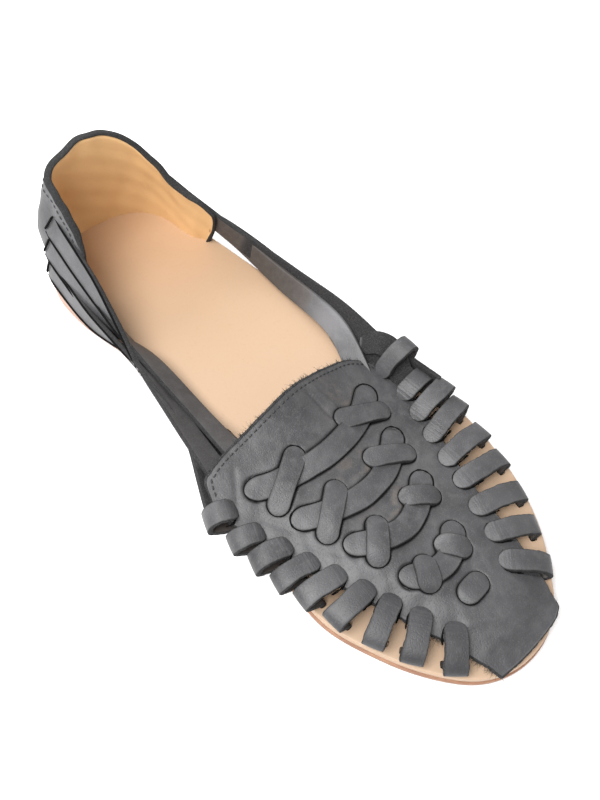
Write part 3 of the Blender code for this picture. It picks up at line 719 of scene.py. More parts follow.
def make_slot_shades(finish):
    """Painted shade of the vamp's slits round the tips of strips and loops: thin flattened dark tubes, with
    fibres.
    """
    loops = [((row[0:2], row[2:4]), LOOP_WIDTH, (0.45,), (1.0, 1.0)) for row in INNER_LOOPS + OUTER_LOOPS]
    grids, roots, outs = [], [], []
    for knots, width, shares, rounding in strips() + loops:
        line, run, heading = plan_line(knots, np.linspace(0, 1, 200))
        for end, share in enumerate(shares):
            places = (1 - np.cos(np.linspace(0, math.pi / 2, 40))) * share
            places = 1 - places if end else places
            half = tip_widths(places, run[-1], width, *rounding, 0.0)[:, None] / 2 + SLIT_GAP
            middle = read(line, run, places * run[-1])
            left = left_of(read(heading, run, places * run[-1]))
            x, y = evened(np.vstack([(middle + left * half)[::-1], middle - left * half]), 70).T
            up = vamp_up(x, y)
            spine = over_vamp(x, y, up, vamp_relief_and_shade(x, y)[0] + 0.10 * MM)
            girth = SLIT_SHADE_HALF_WIDTH * (1 + 0.45 * waves(x, y, 2.4 * MM, 77))
            grids.append(rope_along(spine, girth, SLIT_SHADE_HALF_HEIGHT, up))
            roots.append(spine)
            outs.append(up * 0.35 + np.stack([x - x.mean(), y - y.mean(), 0 * x], -1) / (4 * MM))
    tubes_piece("slot_slit_shades", np.stack(grids), finish)
    fibres("slit_fibres", np.concatenate(roots), unit(np.concatenate(outs)), finish, 0.9 * MM, 31, 1500)


def loop_foot(row):
    """Middle of the slot where a loop goes down: the first place SLOT_INSET inside the sole's edge."""
    tip, bend = (np.array(plan(*row[k:k + 2])) for k in (0, 2))
    heading = unit(bend - tip)
    places = (1 - np.cos(np.linspace(0.2, math.pi, 90))) / 2
    outer, inner = outline(places)
    ring = np.stack([outer if row[3] > 0 else -inner, y_of(places)], -1)
    for tuck in np.arange(1.0, 30.0, 0.3) * MM:
        foot = bend - heading * tuck
        inside = abs(foot[0]) < abs(np.interp(-foot[1], -ring[:, 1], ring[:, 0]))
        if inside and np.hypot(*(ring - foot).T).min() > SLOT_INSET:
            break
    return foot, heading


def bezier(a, b, c, d, k):
    """Points on a cubic curve with four handles."""
    k = np.asarray(k)[:, None]
    m = 1 - k
    return a * m**3 + b * (3 * m * m * k) + c * (3 * m * k * k) + d * k**3


def make_loop(name, row, finish, seed, folds):
    """Edge loop: out of its slot in the vamp, over the edge in a low arch, down into the footbed.

    Its spine is two cubic curves, to the outermost bend and down to the slot."""
    source = np.random.default_rng(seed)
    slot, heading = loop_foot(row)
    x, y = (np.array([k]) for k in plan(*row[:2]))
    tip = over_vamp(x, y, vamp_up(x, y), -0.9 * MM)[0]
    bend = np.array([*plan(*row[2:4]), footbed_top(row[2]) + row[4] * INSTEP_HEIGHT])
    foot = np.array([*slot, footbed_top(along_of(slot[1])) + LOOP_THICK / 2])
    down = np.array([0, 0, -1.0])
    crest = tip + (bend - tip) * (0.35, 0.35, 0) - down * (row[5] * INSTEP_HEIGHT + VAMP_THICK)
    drop = max(bend[2] - foot[2], MM)
    shoulder = bend - down * max(0.35 * (crest[2] - bend[2]) + 0.25 * drop, 1.2 * MM)
    first = bezier(tip, crest, shoulder, bend, np.linspace(0, 1, 40))
    fall = bezier(bend, bend + down * drop * 0.45, foot - down * drop * 0.4, foot, np.linspace(0, 1, 24))
    path = np.vstack([first, fall[1:], [foot + down * (TENON_DEPTH + LOOP_THICK / 2)]])
    places = np.linspace(0, 1, 72)
    spine, reach = evened(path, 72), run_of(path)[-1]
    run = places * reach
    side = np.cross(-down, np.append(heading, 0.0))
    up = unit(np.cross(unit(np.gradient(spine, axis=0)), side))
    lean = np.radians(source.uniform(-4, 4)) * np.sin(places * math.pi)
    widths = tip_widths(places, reach, LOOP_WIDTH * source.uniform(0.97, 1.05), end=0)
    widths = widths * (1 + 0.03 * waves(run, 0 * run, 8 * MM, seed))
    offset, rise, cut, flesh = strip_section(widths, LOOP_THICK, EDGE_ROUND, 0.12 * MM)
    wrinkle = np.exp(-((run - 4.2 * MM) / (2.6 * MM)) ** 2)
    ripple = wrinkle * np.sin(run * 2 * math.pi / (1.25 * MM) + 1.5 * waves(run, 0 * run, 4 * MM, seed + 1))
    grain = (rise > 0.3 * LOOP_THICK).astype(float)
    rise = rise + grain * folds * MM * ripple[:, None] * (0.35 + np.abs(offset) / LOOP_WIDTH * 1.3)
    swing = 0.35 * MM * waves(run, 0 * run, 16 * MM, seed + 2) * np.sin(places * math.pi)
    offset = offset + swing[:, None] + 0.10 * MM * waves(run[:, None], offset, 2.5 * MM, seed + 3) * cut
    turn_up = up * np.cos(lean)[:, None] + side * np.sin(lean)[:, None]
    turn_side = side * np.cos(lean)[:, None] - up * np.sin(lean)[:, None]
    points = spine[:, None] + turn_side[:, None] * offset[..., None] + turn_up[:, None] * rise[..., None]
    marks = {"cut": cut, "flesh": flesh, "wrinkle": wrinkle[:, None]}
    dress(strip(name, points, run, widths, marks), finish)


def make_strap(name, knots, sign, wear_and_painted_light, finish, seed, slit_shades=None):
    """Side strap: a strip on a smooth path from the counter to the vamp, leaning as it goes.

    The fourth argument is a row of the tables of wear and painted light. Dark ropes of painted
    shade for the slits at the strap's end and along the edges of an inner one are added to the given list."""
    suede_share, turned, raw_and_shade_from, raw_and_shade, cut_from, highlight_at, highlight_strength = wear_and_painted_light
    places = np.linspace(0, 1, 110)
    along, across, height, lean = through(knots, places)
    spine = np.stack([*plan(along, across), footbed_top(ARCH_FRONT) + height * INSTEP_HEIGHT], -1)
    way = unit(np.gradient(spine, axis=0))
    turn = np.radians(lean)
    side = unit(np.cross(way, np.stack([sign * np.cos(turn), 0 * turn, -np.sin(turn)], -1)))
    up = unit(np.cross(side, way))
    run = run_of(spine)
    widths = STRAP_WIDTH * (1 + 0.02 * waves(run, 0 * run, 30 * MM, seed))
    widths = widths * np.clip(run / (2.5 * MM), 0.35, 1.0) ** 0.5
    offset, rise, cut, flesh = strip_section(widths, STRAP_THICK, STRAP_ROUND, 0.18 * MM)
    dive = 1.4 * MM * (1 - ease(run / (5.0 * MM)))
    rise = rise - dive[:, None]
    points = spine[:, None] + side[:, None] * offset[..., None] + up[:, None] * rise[..., None]
    points = points + up[:, None] * (0.12 * MM * waves(run, 0 * run, 22 * MM, seed + 1))[:, None, None]
    if slit_shades is not None:
        slit_shades.extend(strap_slit_shades(points, way, side, up, int(np.argmin(np.abs(run - 2.0 * MM))), sign < 0))
    begun = ease((places - cut_from) / 0.10)[:, None]
    suede = flesh * (suede_share * (1 - ease((places - turned) / 0.10)))[:, None]
    suede = np.maximum(suede, cut * (1 - begun))
    # The dark end is a fibrous end, and on the tucks and the first straps it is painted shade.
    edges_and_shade = np.maximum(cut * begun, raw_and_shade * ease((places - raw_and_shade_from) / 0.06)[:, None])
    # Painted highlight: a lighter patch on the strap's grain.
    painted_highlight = highlight_strength * np.exp(-((places - highlight_at) / 0.10) ** 2)[:, None]
    dress(strip(name, points, run, widths, {"cut": edges_and_shade, "flesh": suede, "painted_highlight": painted_highlight}), finish)


def strap_slit_shades(points, way, side, up, row, edged):
    """Ropes of painted shade for a strap's slits: across it in a bow at a row of its grid, and along both its
    edges.
    """
    place = np.linspace(-0.44, 0.44, 16)[:, None]
    line = points[row, 5] + unit(points[row, 10] - points[row, 0]) * place * STRAP_WIDTH
    line = line - way[row] * (0.2 + 2.0 * place**2) * MM + up[row] * (0.55 - 2.4 * place**2) * MM
    ropes = [rope_along(line, 0.55 * MM, 0.45 * MM, np.tile(up[row], (16, 1)))]
    thin = ease(np.linspace(3.0, 0.2, 16)) * MM
    for column in (0, 10) if edged else ():
        edge = points[row:60, column] + up[row:60] * 0.2 * MM - side[row:60] * 0.25 * MM * (1 - column / 5)
        ropes.append(rope_along(evened(edge, 16), 0.45 * thin, 0.40 * thin, np.tile(up[30], (16, 1))))
    return ropes


def heel_radius(angle):
    """Distance from the heel's middle to the sole's edge, in a direction in degrees."""
    places = (1 - np.cos(np.linspace(0, 1.7, 120))) / 2
    outer, inner = outline(places)
    ring = np.vstack([np.stack([outer, y_of(places)], -1)[::-1], np.stack([-inner, y_of(places)], -1)])
    angles = np.degrees(np.unwrap(np.arctan2(ring[:, 1], ring[:, 0])))
    return np.interp(angle, angles, np.hypot(ring[:, 0], ring[:, 1]))


def counter_points(angle, share, inset, sink=0.0):
    """Wall of the counter: the sole's edge drawn in by an inset, leaning in as it rises.

    share runs from 0 at the footbed's groove to 1 at the rim."""
    angle = angle + COUNTER_SLANT * (1 - share) ** 2 * ease((-4 - angle) / 20)
    base = heel_radius(angle) - COUNTER_INSET - inset
    height = curve(COUNTER, 1, angle) * COUNTER_HEIGHT - sink
    turn = np.radians(angle)
    floor = footbed_top(along_of(base * np.sin(turn)))
    up = -TENON_DEPTH + (height + TENON_DEPTH) * share
    level = np.maximum(up, 0) / COUNTER_HEIGHT
    swell = ease((angle - 90) / 30) * (1 - ease((angle - 135) / 17))
    lean = curve(COUNTER_LEAN, 1, level) * (1 - swell) + curve(SWELL_LEAN, 1, level) * swell
    pinch = (1.2 * ease(level / 0.3) + 1.3 * ease((level - 0.3) / 0.35)) * MM * ease((angle - 138) / 14)
    radius = base - lean * COUNTER_HEIGHT - pinch + 0.25 * MM * waves(angle * 0.5 * MM, up, 12 * MM, 60)
    return np.stack([radius * np.cos(turn), radius * np.sin(turn), floor + up], -1)


def wall_share(angle):
    """Share of the counter's thickness that is left, skived away towards its two front ends."""
    near = np.minimum(angle - COUNTER[0][0], COUNTER[-1][0] - angle)
    return 0.45 + 0.55 * ease(near / 16)


def wall_piece(name, outer_inset, thick, sink, finish):
    """Closed wall between two offsets of the counter's surface, with a rounded rim."""
    rows, cols = 34, 150
    angle = np.linspace(COUNTER[0][0], COUNTER[-1][0], cols)
    share = np.linspace(0, 1, rows)
    grid_share, grid_angle = np.meshgrid(share, angle, indexing="ij")
    thin = wall_share(grid_angle)
    outer = counter_points(grid_angle, grid_share, outer_inset * thin, sink)
    inner = counter_points(grid_angle, grid_share, (outer_inset + thick) * thin, sink)
    crest = []
    for k in np.radians([30, 60, 90, 120, 150]):
        mix = (1 - math.cos(k)) / 2
        crest.append(outer[-1] * (1 - mix) + inner[-1] * mix + np.array([0, 0, thick * 0.35 * math.sin(k)]))
    points = np.concatenate([outer, np.stack(crest), inner[::-1]]).transpose(1, 0, 2)
    parts = (rows, len(crest), rows)
    high = np.concatenate([share, np.ones(len(crest)), share[::-1]])
    uv = np.stack(np.broadcast_arrays(np.radians(angle)[:, None] * 0.03, high * 0.05), -1)
    wall = tube(name, points, uv, {"cut": np.repeat([0, 1, 0], parts), "flesh": np.repeat([0, 0, 1], parts)})
    dress(wall, finish)


def make_binding(finish):
    """Thin black binding along the counter's rim and down both front edges."""
    angle = np.linspace(COUNTER[0][0], COUNTER[-1][0], 160)
    thick = COUNTER_THICK + LINING_THICK
    rim = counter_points(angle, np.ones_like(angle), thick * 0.5 * wall_share(angle))
    fall = np.linspace(0, 1, 24)[:-1]
    first = counter_points(np.full(23, angle[0]), fall, thick * 0.22)
    last = counter_points(np.full(23, angle[-1]), fall[::-1], thick * 0.22)
    path = evened(np.vstack([first, rim, last]), 260)
    turn = np.degrees(np.arctan2(path[:, 1], path[:, 0]))
    share = wall_share(np.where(turn < -90, turn + 360, turn))
    grid = rope_along(path, 0.55 * MM, thick * 0.56 * share, unit(path * np.array([1, 1, 0])), 10)
    dress(tube("counter_binding", grid, np.zeros((*grid.shape[:2], 2)), {"cut": 1.0}), finish)


def stitch_row(name, path, ups, finish):
    """Row of stitches along a path: short flattened capsules a pitch apart, joined in one mesh."""
    run = run_of(path)
    middles = np.arange(STITCH_PITCH, run[-1] - STITCH_PITCH / 2, STITCH_PITCH)
    steps = np.linspace(-0.5, 0.5, 7)
    spine = read(path, run, middles[:, None] + steps * STITCH_LENGTH)
    up = unit(read(ups, run, middles))[:, None]
    side = np.cross(unit(spine[:, -1:] - spine[:, :1]), up)
    arch = 1 - (2 * steps) ** 2
    spine = spine + up * ((arch - 0.72) * STITCH_GIRTH * 1.1 + STITCH_LIFT)[:, None]
    girth = STITCH_GIRTH * np.sqrt(np.clip(1 - (2 * steps) ** 4, 0.05, 1))
    tubes_piece(name, around(spine, side, up, girth, girth * 0.8, 8), finish)


def fibres(name, roots, outs, finish, longest, seed, count, clumps=0):
    """Loose fibres on a cut edge: thin three-sided hairs, each bent by a random side force.

    With clumps, they stand in that many tufts."""
    source = np.random.default_rng(seed)
    pick = source.integers(0, len(roots), count)
    if clumps:
        tufts = source.integers(0, len(roots), clumps)[source.integers(0, clumps, count)]
        pick = np.clip(tufts + source.normal(0, 1.6, count).astype(int), 0, len(roots) - 1)
    length = longest * source.uniform(0.25, 1.0, count) ** 1.5
    way = unit(outs[pick] + source.normal(0, 0.55, (count, 3)))
    pull = source.normal(0, 0.8, (count, 3))
    k = np.linspace(0, 1, 5)
    start = roots[pick] - outs[pick] * 0.25 * MM
    spine = (start[:, None] + way[:, None] * (length[:, None] * k)[..., None]
             + pull[:, None] * (length[:, None] * k**2 * 0.5)[..., None])
    side = unit(np.cross(way, source.normal(0, 1, (count, 3))))
    girth = FIBRE_GIRTH * (1.15 - k)
    tubes_piece(name, around(spine, side[:, None], np.cross(way, side)[:, None], girth, girth, 3), finish)


def fray_corner(finish):
    """Tufts of fibres along the vamp's inner edge, by its front corner."""
    along = 0.90 + 0.09 * np.linspace(0, 1, 40)
    x, y = plan(along, curve(VAMP, 1, along))
    roots = np.stack([x, y, vamp_top(x, y) - 1.2 * MM], -1)
    out = np.tile([-1, -0.35, -0.1], (len(x), 1))
    fibres("corner_fibres", roots, unit(out), finish, 2.8 * MM, 17, 150)


def sole_ring(inset, last, count=340):
    """Outline of the sole in the plan, drawn in by an inset, as a closed ring of even steps.

    For a layer that stops short, the ring is closed across by the heel's curved breast line."""
    places = (1 - np.cos(np.linspace(0.0, math.acos(1 - 2 * last), 400))) / 2
    outer, inner = outline(places)
    right = np.stack([outer, y_of(places)], -1)
    left = np.stack([-inner, y_of(places)], -1)
    breast = np.zeros((0, 2))
    if last < 1.0:
        k = np.linspace(-1, 1, 40)[1:-1]
        middle, half = (outer[-1] - inner[-1]) / 2, (outer[-1] + inner[-1]) / 2
        breast = np.stack([middle - k * half, y_of(last) + HEEL_BREAST_CURVE * (1 - k**2)], -1)
    closed = np.vstack([right, breast, left[::-1], right[:1]])
    run = run_of(closed)
    ring = read(closed, run, np.linspace(0, run[-1], count, endpoint=False))
    for _ in range(2):
        ring = (np.roll(ring, 1, 0) + 2 * ring + np.roll(ring, -1, 0)) / 4
    out = -left_of(unit(np.roll(ring, -1, 0) - np.roll(ring, 1, 0)))
    if (ring[:, 0] * np.roll(ring[:, 1], -1) - ring[:, 1] * np.roll(ring[:, 0], -1)).sum() < 0:
        out = -out
    return ring - out * inset, out


def layer_piece(name, inset, under, over, last, corner, low_corner):
    """Layer of the sole: rings of its outline, from its middle over the top edge and back under.

    The flat faces are rings drawn together towards a centre line, so the layer bends along it."""
    ring, out = sole_ring(inset, last)
    centre_y = np.clip(ring[:, 1], y_of(last) + 20 * MM, HEEL_SEAT - 20 * MM)
    outer, inner = outline(along_of(centre_y))
    spine = np.stack([(outer - inner) / 2 * 0.9, centre_y], -1)
    fills = np.concatenate([[0.0], np.linspace(0.08, 0.92, 10), [0.965]])
    rings = []

    def add(flat, face, shift=0.0):
        """One ring at the height of a face, moved up by shift."""
        rings.append(np.column_stack([flat, face(along_of(flat[:, 1])) + shift]))

    for fill in fills:
        add(spine + (ring - out * corner - spine) * fill, over)
    for turn in np.radians([0, 22, 45, 68, 90]):
        add(ring - out * corner * (1 - math.sin(turn)), over, -corner * (1 - math.cos(turn)))
    for turn in np.radians([90, 60, 30, 0]):
        add(ring - out * low_corner * (1 - math.sin(turn)), under, low_corner * (1 - math.cos(turn)))
    for fill in fills[::-1]:
        add(spine + (ring - out * low_corner - spine) * fill, under)
    grid = np.stack(rings)
    piece = make_mesh(name, grid, grid_quads(*grid.shape[:2], closed=True), None, grid[..., :2])
    weld = piece.modifiers.new("weld", "WELD")
    weld.merge_threshold = 0.02 * MM
    return piece


def eye_frame(row):
    """Middle of a round-ended slot in the plan, with the directions along and across it."""
    turn = math.radians(row[2])
    return (np.array(plan(*row[:2])), np.array([math.sin(turn), math.cos(turn)]),
            np.array([math.cos(turn), -math.sin(turn)]))


def slot_cutters():
    """Cutters for the loops' slots, as rounded squares, and for the two round-ended slots."""
    turns = np.linspace(0, 2 * math.pi, 24, endpoint=False)[:, None]
    cos, sin = np.cos(turns), np.sin(turns)
    slack = SEAM_GAP * 1.5
    outlines = []
    for row in INNER_LOOPS + OUTER_LOOPS:
        foot, heading = loop_foot(row)
        wide = (LOOP_WIDTH / 2 + slack) * np.sign(cos) * np.abs(cos) ** 0.35
        thick = (LOOP_THICK / 2 + slack) * np.sign(sin) * np.abs(sin) ** 0.35
        outlines.append(foot + left_of(heading) * wide + heading * thick)
    for row in EYES:
        middle, run, side = eye_frame(row)
        radius = EYE_WIDTH / 2
        reach = radius * sin + (EYE_LENGTH / 2 - radius) * np.sign(sin + 1e-9)
        outlines.append(middle + side * radius * cos + run * reach)
    cutters = []
    for i, ring in enumerate(outlines):
        floor = float(footbed_top(along_of(ring[:, 1].mean())))
        levels = [np.column_stack([ring, np.full(24, floor + z)]) for z in (-SLOT_DEPTH, 2 * MM)]
        cutters.append(tube(f"slot_{i}", np.stack(levels)))
    return cutters


def make_plugs(finish):
    """Knotted lace ends in the two round-ended slots of the footbed: flattened domes."""
    high, around_it = np.meshgrid(np.linspace(-0.5, 0.5, 12) * math.pi,
                                  np.linspace(0, 2 * math.pi, 28, endpoint=False), indexing="ij")
    wide = np.cos(high) * np.cos(around_it) * EYE_WIDTH * 0.46
    deep = np.cos(high) * np.sin(around_it) * EYE_LENGTH * 0.44
    lump = 1 + 0.12 * waves(wide, deep, 3 * MM, 88)
    for i, row in enumerate(EYES):
        middle, run, side = eye_frame(row)
        flat = middle - run * 1.5 * MM + side * wide[..., None] + run * deep[..., None]
        z = footbed_top(row[0]) + 0.4 * MM + np.sin(high) * 1.5 * MM * lump
        points = np.concatenate([flat, z[..., None]], -1)
        dress(tube(f"lace_end_{i + 1}", points, flat, {"cut": 0.5}), finish)


class Wire:
    """A shader socket that takes arithmetic: an expression adds its Math nodes."""

    def __init__(self, finish, socket):
        self.finish = finish
        self.socket = socket

    def math(self, operation, *values):
        """A Math node fed by the values, or by this socket alone."""
        inputs = dict(enumerate(values or (self,)))
        return self.finish.node("ShaderNodeMath", {"operation": operation}, inputs)

    def __add__(self, other):
        return self.math("ADD", self, other)

    def __sub__(self, other):
        return self.math("SUBTRACT", self, other)

    def __rsub__(self, other):
        return self.math("SUBTRACT", other, self)

    def __mul__(self, other):
        return self.math("MULTIPLY", self, other)

    __radd__ = __add__
    __rmul__ = __mul__

    def clamp(self):
        """The value held between 0 and 1."""
        return self.finish.node("ShaderNodeClamp", {}, {0: self})

    def between(self, low, high):
        """0 below low, 1 above high, smooth from one to the other."""
        return self.finish.node("ShaderNodeMapRange", {"interpolation_type": "SMOOTHSTEP"},
                                {0: self, 1: low, 2: high, 3: 0.0, 4: 1.0})


class Finish:
    """One finish of the shoe: a material, its Principled shader and the nodes that feed it."""

    def __init__(self, name):
        self.material = bpy.data.materials.new(name)
        self.material.use_nodes = True
        self.nodes = self.material.node_tree.nodes
        self.links = self.material.node_tree.links
        self.shader = self.nodes["Principled BSDF"]
        self.place = self.node("ShaderNodeTexCoord", output="Object")
        self.uv = self.node("ShaderNodeTexCoord", output="UV")

    def node(self, kind, settings=None, inputs=None, output=0):
        """Adds a node: its settings first, then the values or links of its sockets."""
        node = self.nodes.new(kind)
        for key, value in (settings or {}).items():
            setattr(node, key, value)
        for key, value in (inputs or {}).items():
            if isinstance(value, Wire):
                self.links.new(value.socket, node.inputs[key])
            else:
                node.inputs[key].default_value = value
        return Wire(self, node.outputs[output])

    def mark(self, name):
        """A value stored on the piece's points."""
        return self.node("ShaderNodeAttribute", {"attribute_name": name}, output="Fac")

    def axis(self, name):
        """X, Y or Z of the place on the shoe, in metres."""
        return self.node("ShaderNodeSeparateXYZ", {}, {0: self.place}, output=name)

    def noise(self, scale, detail=3.0, rough=0.55, where=None, stretch=None):
        """Cloudy value between 0 and 1; scale is in waves per metre."""
        where = where or self.place
        if stretch:
            where = self.node("ShaderNodeMapping", {}, {"Vector": where, "Scale": stretch})
        return self.node("ShaderNodeTexNoise", {}, {"Vector": where, "Scale": scale, "Detail": detail,
                                                    "Roughness": rough})

    def cells(self, scale, feature="F1"):
        """Distance to the nearest pore, or to the border between two; scale is pores per metre."""
        return self.node("ShaderNodeTexVoronoi", {"feature": feature}, {"Vector": self.place, "Scale": scale},
                         output="Distance")

    def blend(self, share, first, second):
        """Colour that goes from the first to the second."""
        first = (*first, 1.0) if isinstance(first, tuple) else first
        second = (*second, 1.0) if isinstance(second, tuple) else second
        return self.node("ShaderNodeMix", {"data_type": "RGBA"}, {0: share, 6: first, 7: second}, output=2)

    def bump(self, height, distance, strength):
        """Normal tilted by a height in units of a distance in metres."""
        return self.node("ShaderNodeBump", {}, {"Height": height, "Distance": distance, "Strength": strength})

    def set(self, **values):
        """Sets or links sockets of the Principled shader, named with _ for a space."""
        for key, value in values.items():
            socket = self.shader.inputs[key.replace("_", " ")]
            if isinstance(value, Wire):
                self.links.new(value.socket, socket)
            else:
                socket.default_value = (*value, 1.0) if isinstance(value, tuple) else value


def black_leather():
    """Soft black leather: fine pores, cloudy tone, brown rubs, dark fibrous edges, brown grey flesh, with
    painted shade beside the slits, on some straps and towards the toe, and a painted highlight on a strap.
    """
    f = Finish("black leather")
    cut, flesh = f.mark("cut"), f.mark("flesh")
    rub, slot, wrinkle = f.mark("rub"), f.mark("slot"), f.mark("wrinkle")
    cloud = f.noise(55, 4)
    haze = f.noise(260, 3)
    speck = f.noise(2600, 2, 0.6)
    tone = f.blend(cloud.between(0.25, 0.75), (0.037, 0.037, 0.039), (0.073, 0.073, 0.076))
    tone = f.blend(haze.between(0.45, 0.75) * 0.50, tone, (0.095, 0.094, 0.097))
    brown = (rub * f.noise(150, 5, 0.65).between(0.42, 0.66)).clamp() * 0.7
    tone = f.blend(brown, tone, (0.120, 0.100, 0.086))
    tone = f.blend(speck.between(0.55, 0.72) * 0.48, tone, (0.140, 0.138, 0.140))
    # Painted shade: darker towards the toe, and most on the toe's inner side.
    front = 1 - f.axis("Y").between(-0.205, -0.145)
    inner = 1 - f.axis("X").between(-0.020, 0.012)
    tone = f.blend(front * 0.25 + front.between(0.0, 0.3) * inner * 0.38, tone, (0.024, 0.024, 0.026))
    skin = f.noise(420, 4, 0.6)
    back = f.blend(skin.between(0.2, 0.8), (0.050, 0.042, 0.038), (0.070, 0.060, 0.054))
    tone = f.blend(flesh.between(0.55, 0.95), tone, back)
    fray = f.noise(2600, 3, 0.6)
    raw_and_shade = f.blend(fray.between(0.4, 0.7), (0.010, 0.010, 0.011), (0.038, 0.037, 0.036))
    # Dark raw edges; on some straps and on the tucks the same dark is painted shade.
    tone = f.blend(cut.between(0.25, 0.8), tone, raw_and_shade)
    # Painted shade: the slot mark darkens the vamp nearly to black beside strips and loops.
    tone = f.blend(slot.between(0.10, 0.90), tone, (0.006, 0.006, 0.007))
    # Painted highlight: a light grey patch where the strap's highlight mark lies.
    tone = f.blend(f.mark("painted_highlight"), tone, (0.300, 0.298, 0.310))
    pores = f.cells(1500).between(0.05, 0.55)
    fold = f.cells(520, feature="DISTANCE_TO_EDGE").between(0.0, 0.10)
    creases = f.noise(1.0, 3, 0.6, f.uv, (900.0, 120.0, 1.0))
    surface = pores * 0.35 + fold * 0.12 + haze * 0.5 + creases * wrinkle * 2.2 + fray * cut * 1.1
    f.set(Base_Color=tone, Specular_IOR_Level=0.48,
          Roughness=(0.38 + haze * 0.18 + cut * 0.45 + flesh * 0.2 + brown * 0.12).clamp(),
          Normal=f.bump(surface, 0.16 * MM, 0.7))
    return f.material


def thread(name, light, rough, gleam):
    """Black waxed thread, or the painted shade of an open slit."""
    f = Finish(name)
    twist = f.noise(3000, 2)
    f.set(Base_Color=f.blend(twist, tuple(0.4 * k for k in light), light), Roughness=rough,
          Specular_IOR_Level=gleam, Normal=f.bump(twist, 0.05 * MM, 0.6))
    return f.material


def pale_leather(name, light, deep, sheen):
    """Smooth vegetable tan leather, deeper towards the heel, with soft clouds and fine pores."""
    f = Finish(name)
    heel = f.axis("Y").between(-0.10, 0.03)
    cloud = f.noise(38, 4, 0.6)
    tone = f.blend((heel * 0.85 + (cloud - 0.5) * 0.5).clamp(), light, deep)
    speck = f.noise(900, 3, 0.6)
    tone = f.blend(speck.between(0.5, 0.8) * 0.20, tone, tuple(0.80 * k for k in deep))
    grain = f.cells(1900).between(0.0, 0.6) * 0.3 + f.noise(600, 3) * 0.4
    f.set(Base_Color=tone, Roughness=(sheen + (speck - 0.5) * 0.15).clamp(), Specular_IOR_Level=0.4,
          Normal=f.bump(grain, 0.05 * MM, 0.6))
    return f.material


def sole_leather(name, light, dark, stripes):
    """Cut and burnished edge of sole leather, with faint layers and fibres."""
    f = Finish(name)
    fibre = f.noise(160, 5, 0.65, None, (1.0, 1.0, 9.0))
    layer = (f.axis("Z") * (2 * math.pi / (2.7 * MM))).math("SINE")
    seam = layer.between(0.93, 0.995) * stripes
    tone = f.blend(fibre.between(0.35, 0.7), dark, light)
    tone = f.blend(seam, tone, tuple(0.55 * k for k in dark))
    f.set(Base_Color=tone, Roughness=(0.48 + (fibre - 0.5) * 0.3).clamp(), Specular_IOR_Level=0.4,
          Normal=f.bump(fibre * 0.6 - seam, 0.08 * MM, 0.6))
    return f.material


def cut_out(piece, cutters):
    """Takes the cutters out of a piece for good, with its other modifiers, and deletes them."""
    group = bpy.data.collections.new("slot cutters")
    for cutter in cutters:
        bpy.context.scene.collection.objects.unlink(cutter)
        group.objects.link(cutter)
    bpy.context.scene.collection.children.link(group)
    cut = piece.modifiers.new("slots", "BOOLEAN")
    cut.operand_type = "COLLECTION"
    cut.collection = group
    cut.operation = "DIFFERENCE"
    cut.solver = "EXACT"
    depsgraph = bpy.context.evaluated_depsgraph_get()
    finished = bpy.data.meshes.new_from_object(piece.evaluated_get(depsgraph))
    piece.modifiers.clear()
    piece.data = finished
    finished.set_sharp_from_angle(angle=math.radians(32))
    for cutter in cutters:
        bpy.data.objects.remove(cutter)
    bpy.data.collections.remove(group)


def make_soles():
    """Outsole, stacked heel lift and footbed, each in its own leather; the footbed has its slots."""
    outsole = layer_piece("outsole_edge", 0.0, sole_rise, lambda a: sole_rise(a) + OUTSOLE_THICK, 1.0,
                          0.5 * MM, 0.5 * MM)
    edge = sole_leather("outsole edge", (0.36, 0.19, 0.11), (0.24, 0.115, 0.065), 0.0)
    dress(outsole, edge, "outsole")
    heel = layer_piece("heel_stack", HEEL_LIFT_INSET, lambda a: 0.0 * a, lambda a: sole_rise(a) - SEAM_GAP,
                       HEEL_LIFT_LENGTH / LENGTH, 0.3 * MM, 0.6 * MM)
    stack = sole_leather("stacked heel", (0.46, 0.29, 0.21), (0.37, 0.21, 0.15), 0.8)
    dress(heel, stack, "heel_lift")
    footbed = layer_piece("footbed_leather", FOOTBED_INSET, lambda a: sole_rise(a) + OUTSOLE_THICK + SEAM_GAP,
                          footbed_top, 1.0, 0.7 * MM, 0.3 * MM)
    cut_out(footbed, slot_cutters())
    smooth = pale_leather("footbed leather", (0.462, 0.326, 0.222), (0.470, 0.298, 0.176), 0.42)
    dress(footbed, smooth, "footbed")


def throat_path(inset):
    """Line on the vamp a set distance in from its rear edge, with the normals along it."""
    u = np.linspace(0.004, 0.996, 400)
    along = curve(THROAT, 1, u)
    inner, outer = curve(VAMP, 1, along), curve(VAMP, 2, along)
    line = np.column_stack(plan(along, inner + (outer - inner) * u))
    x, y = (line - left_of(unit(np.gradient(line, axis=0))) * inset).T
    up = vamp_up(x, y)
    return over_vamp(x, y, up, vamp_relief_and_shade(x, y)[0]), up


def make_stitches(finish):
    """Stitch rows: behind the vamp's rear edge and under the counter's rim."""
    stitch_row("throat_stitches", *throat_path(STITCH_INSET), finish)
    angle = np.linspace(COUNTER[0][0] + 3, COUNTER[-1][0] - 3, 500)
    path = counter_points(angle, 1 - STITCH_DROP / (curve(COUNTER, 1, angle) * COUNTER_HEIGHT), 0.0)
    turn = np.radians(angle)
    out = np.stack([np.cos(turn), np.sin(turn), np.full(len(turn), 0.1)], -1)
    stitch_row("counter_stitches_1", path, out, finish)


def make_frays(finish):
    """Hairs and tufts along the vamp's cut rear edge and at its front inner corner."""
    path, up = throat_path(0.0)
    outs = unit(np.cross(up, unit(np.gradient(path, axis=0))))
    if outs[len(outs) // 2, 1] < 0:
        outs = -outs
    fibres("throat_fibres", path - up * 0.8 * MM, outs, finish, 1.5 * MM, 7, 700)
    fibres("throat_tufts", path - up * 0.5 * MM, outs, finish, 2.0 * MM, 8, 900, 64)
    fray_corner(finish)


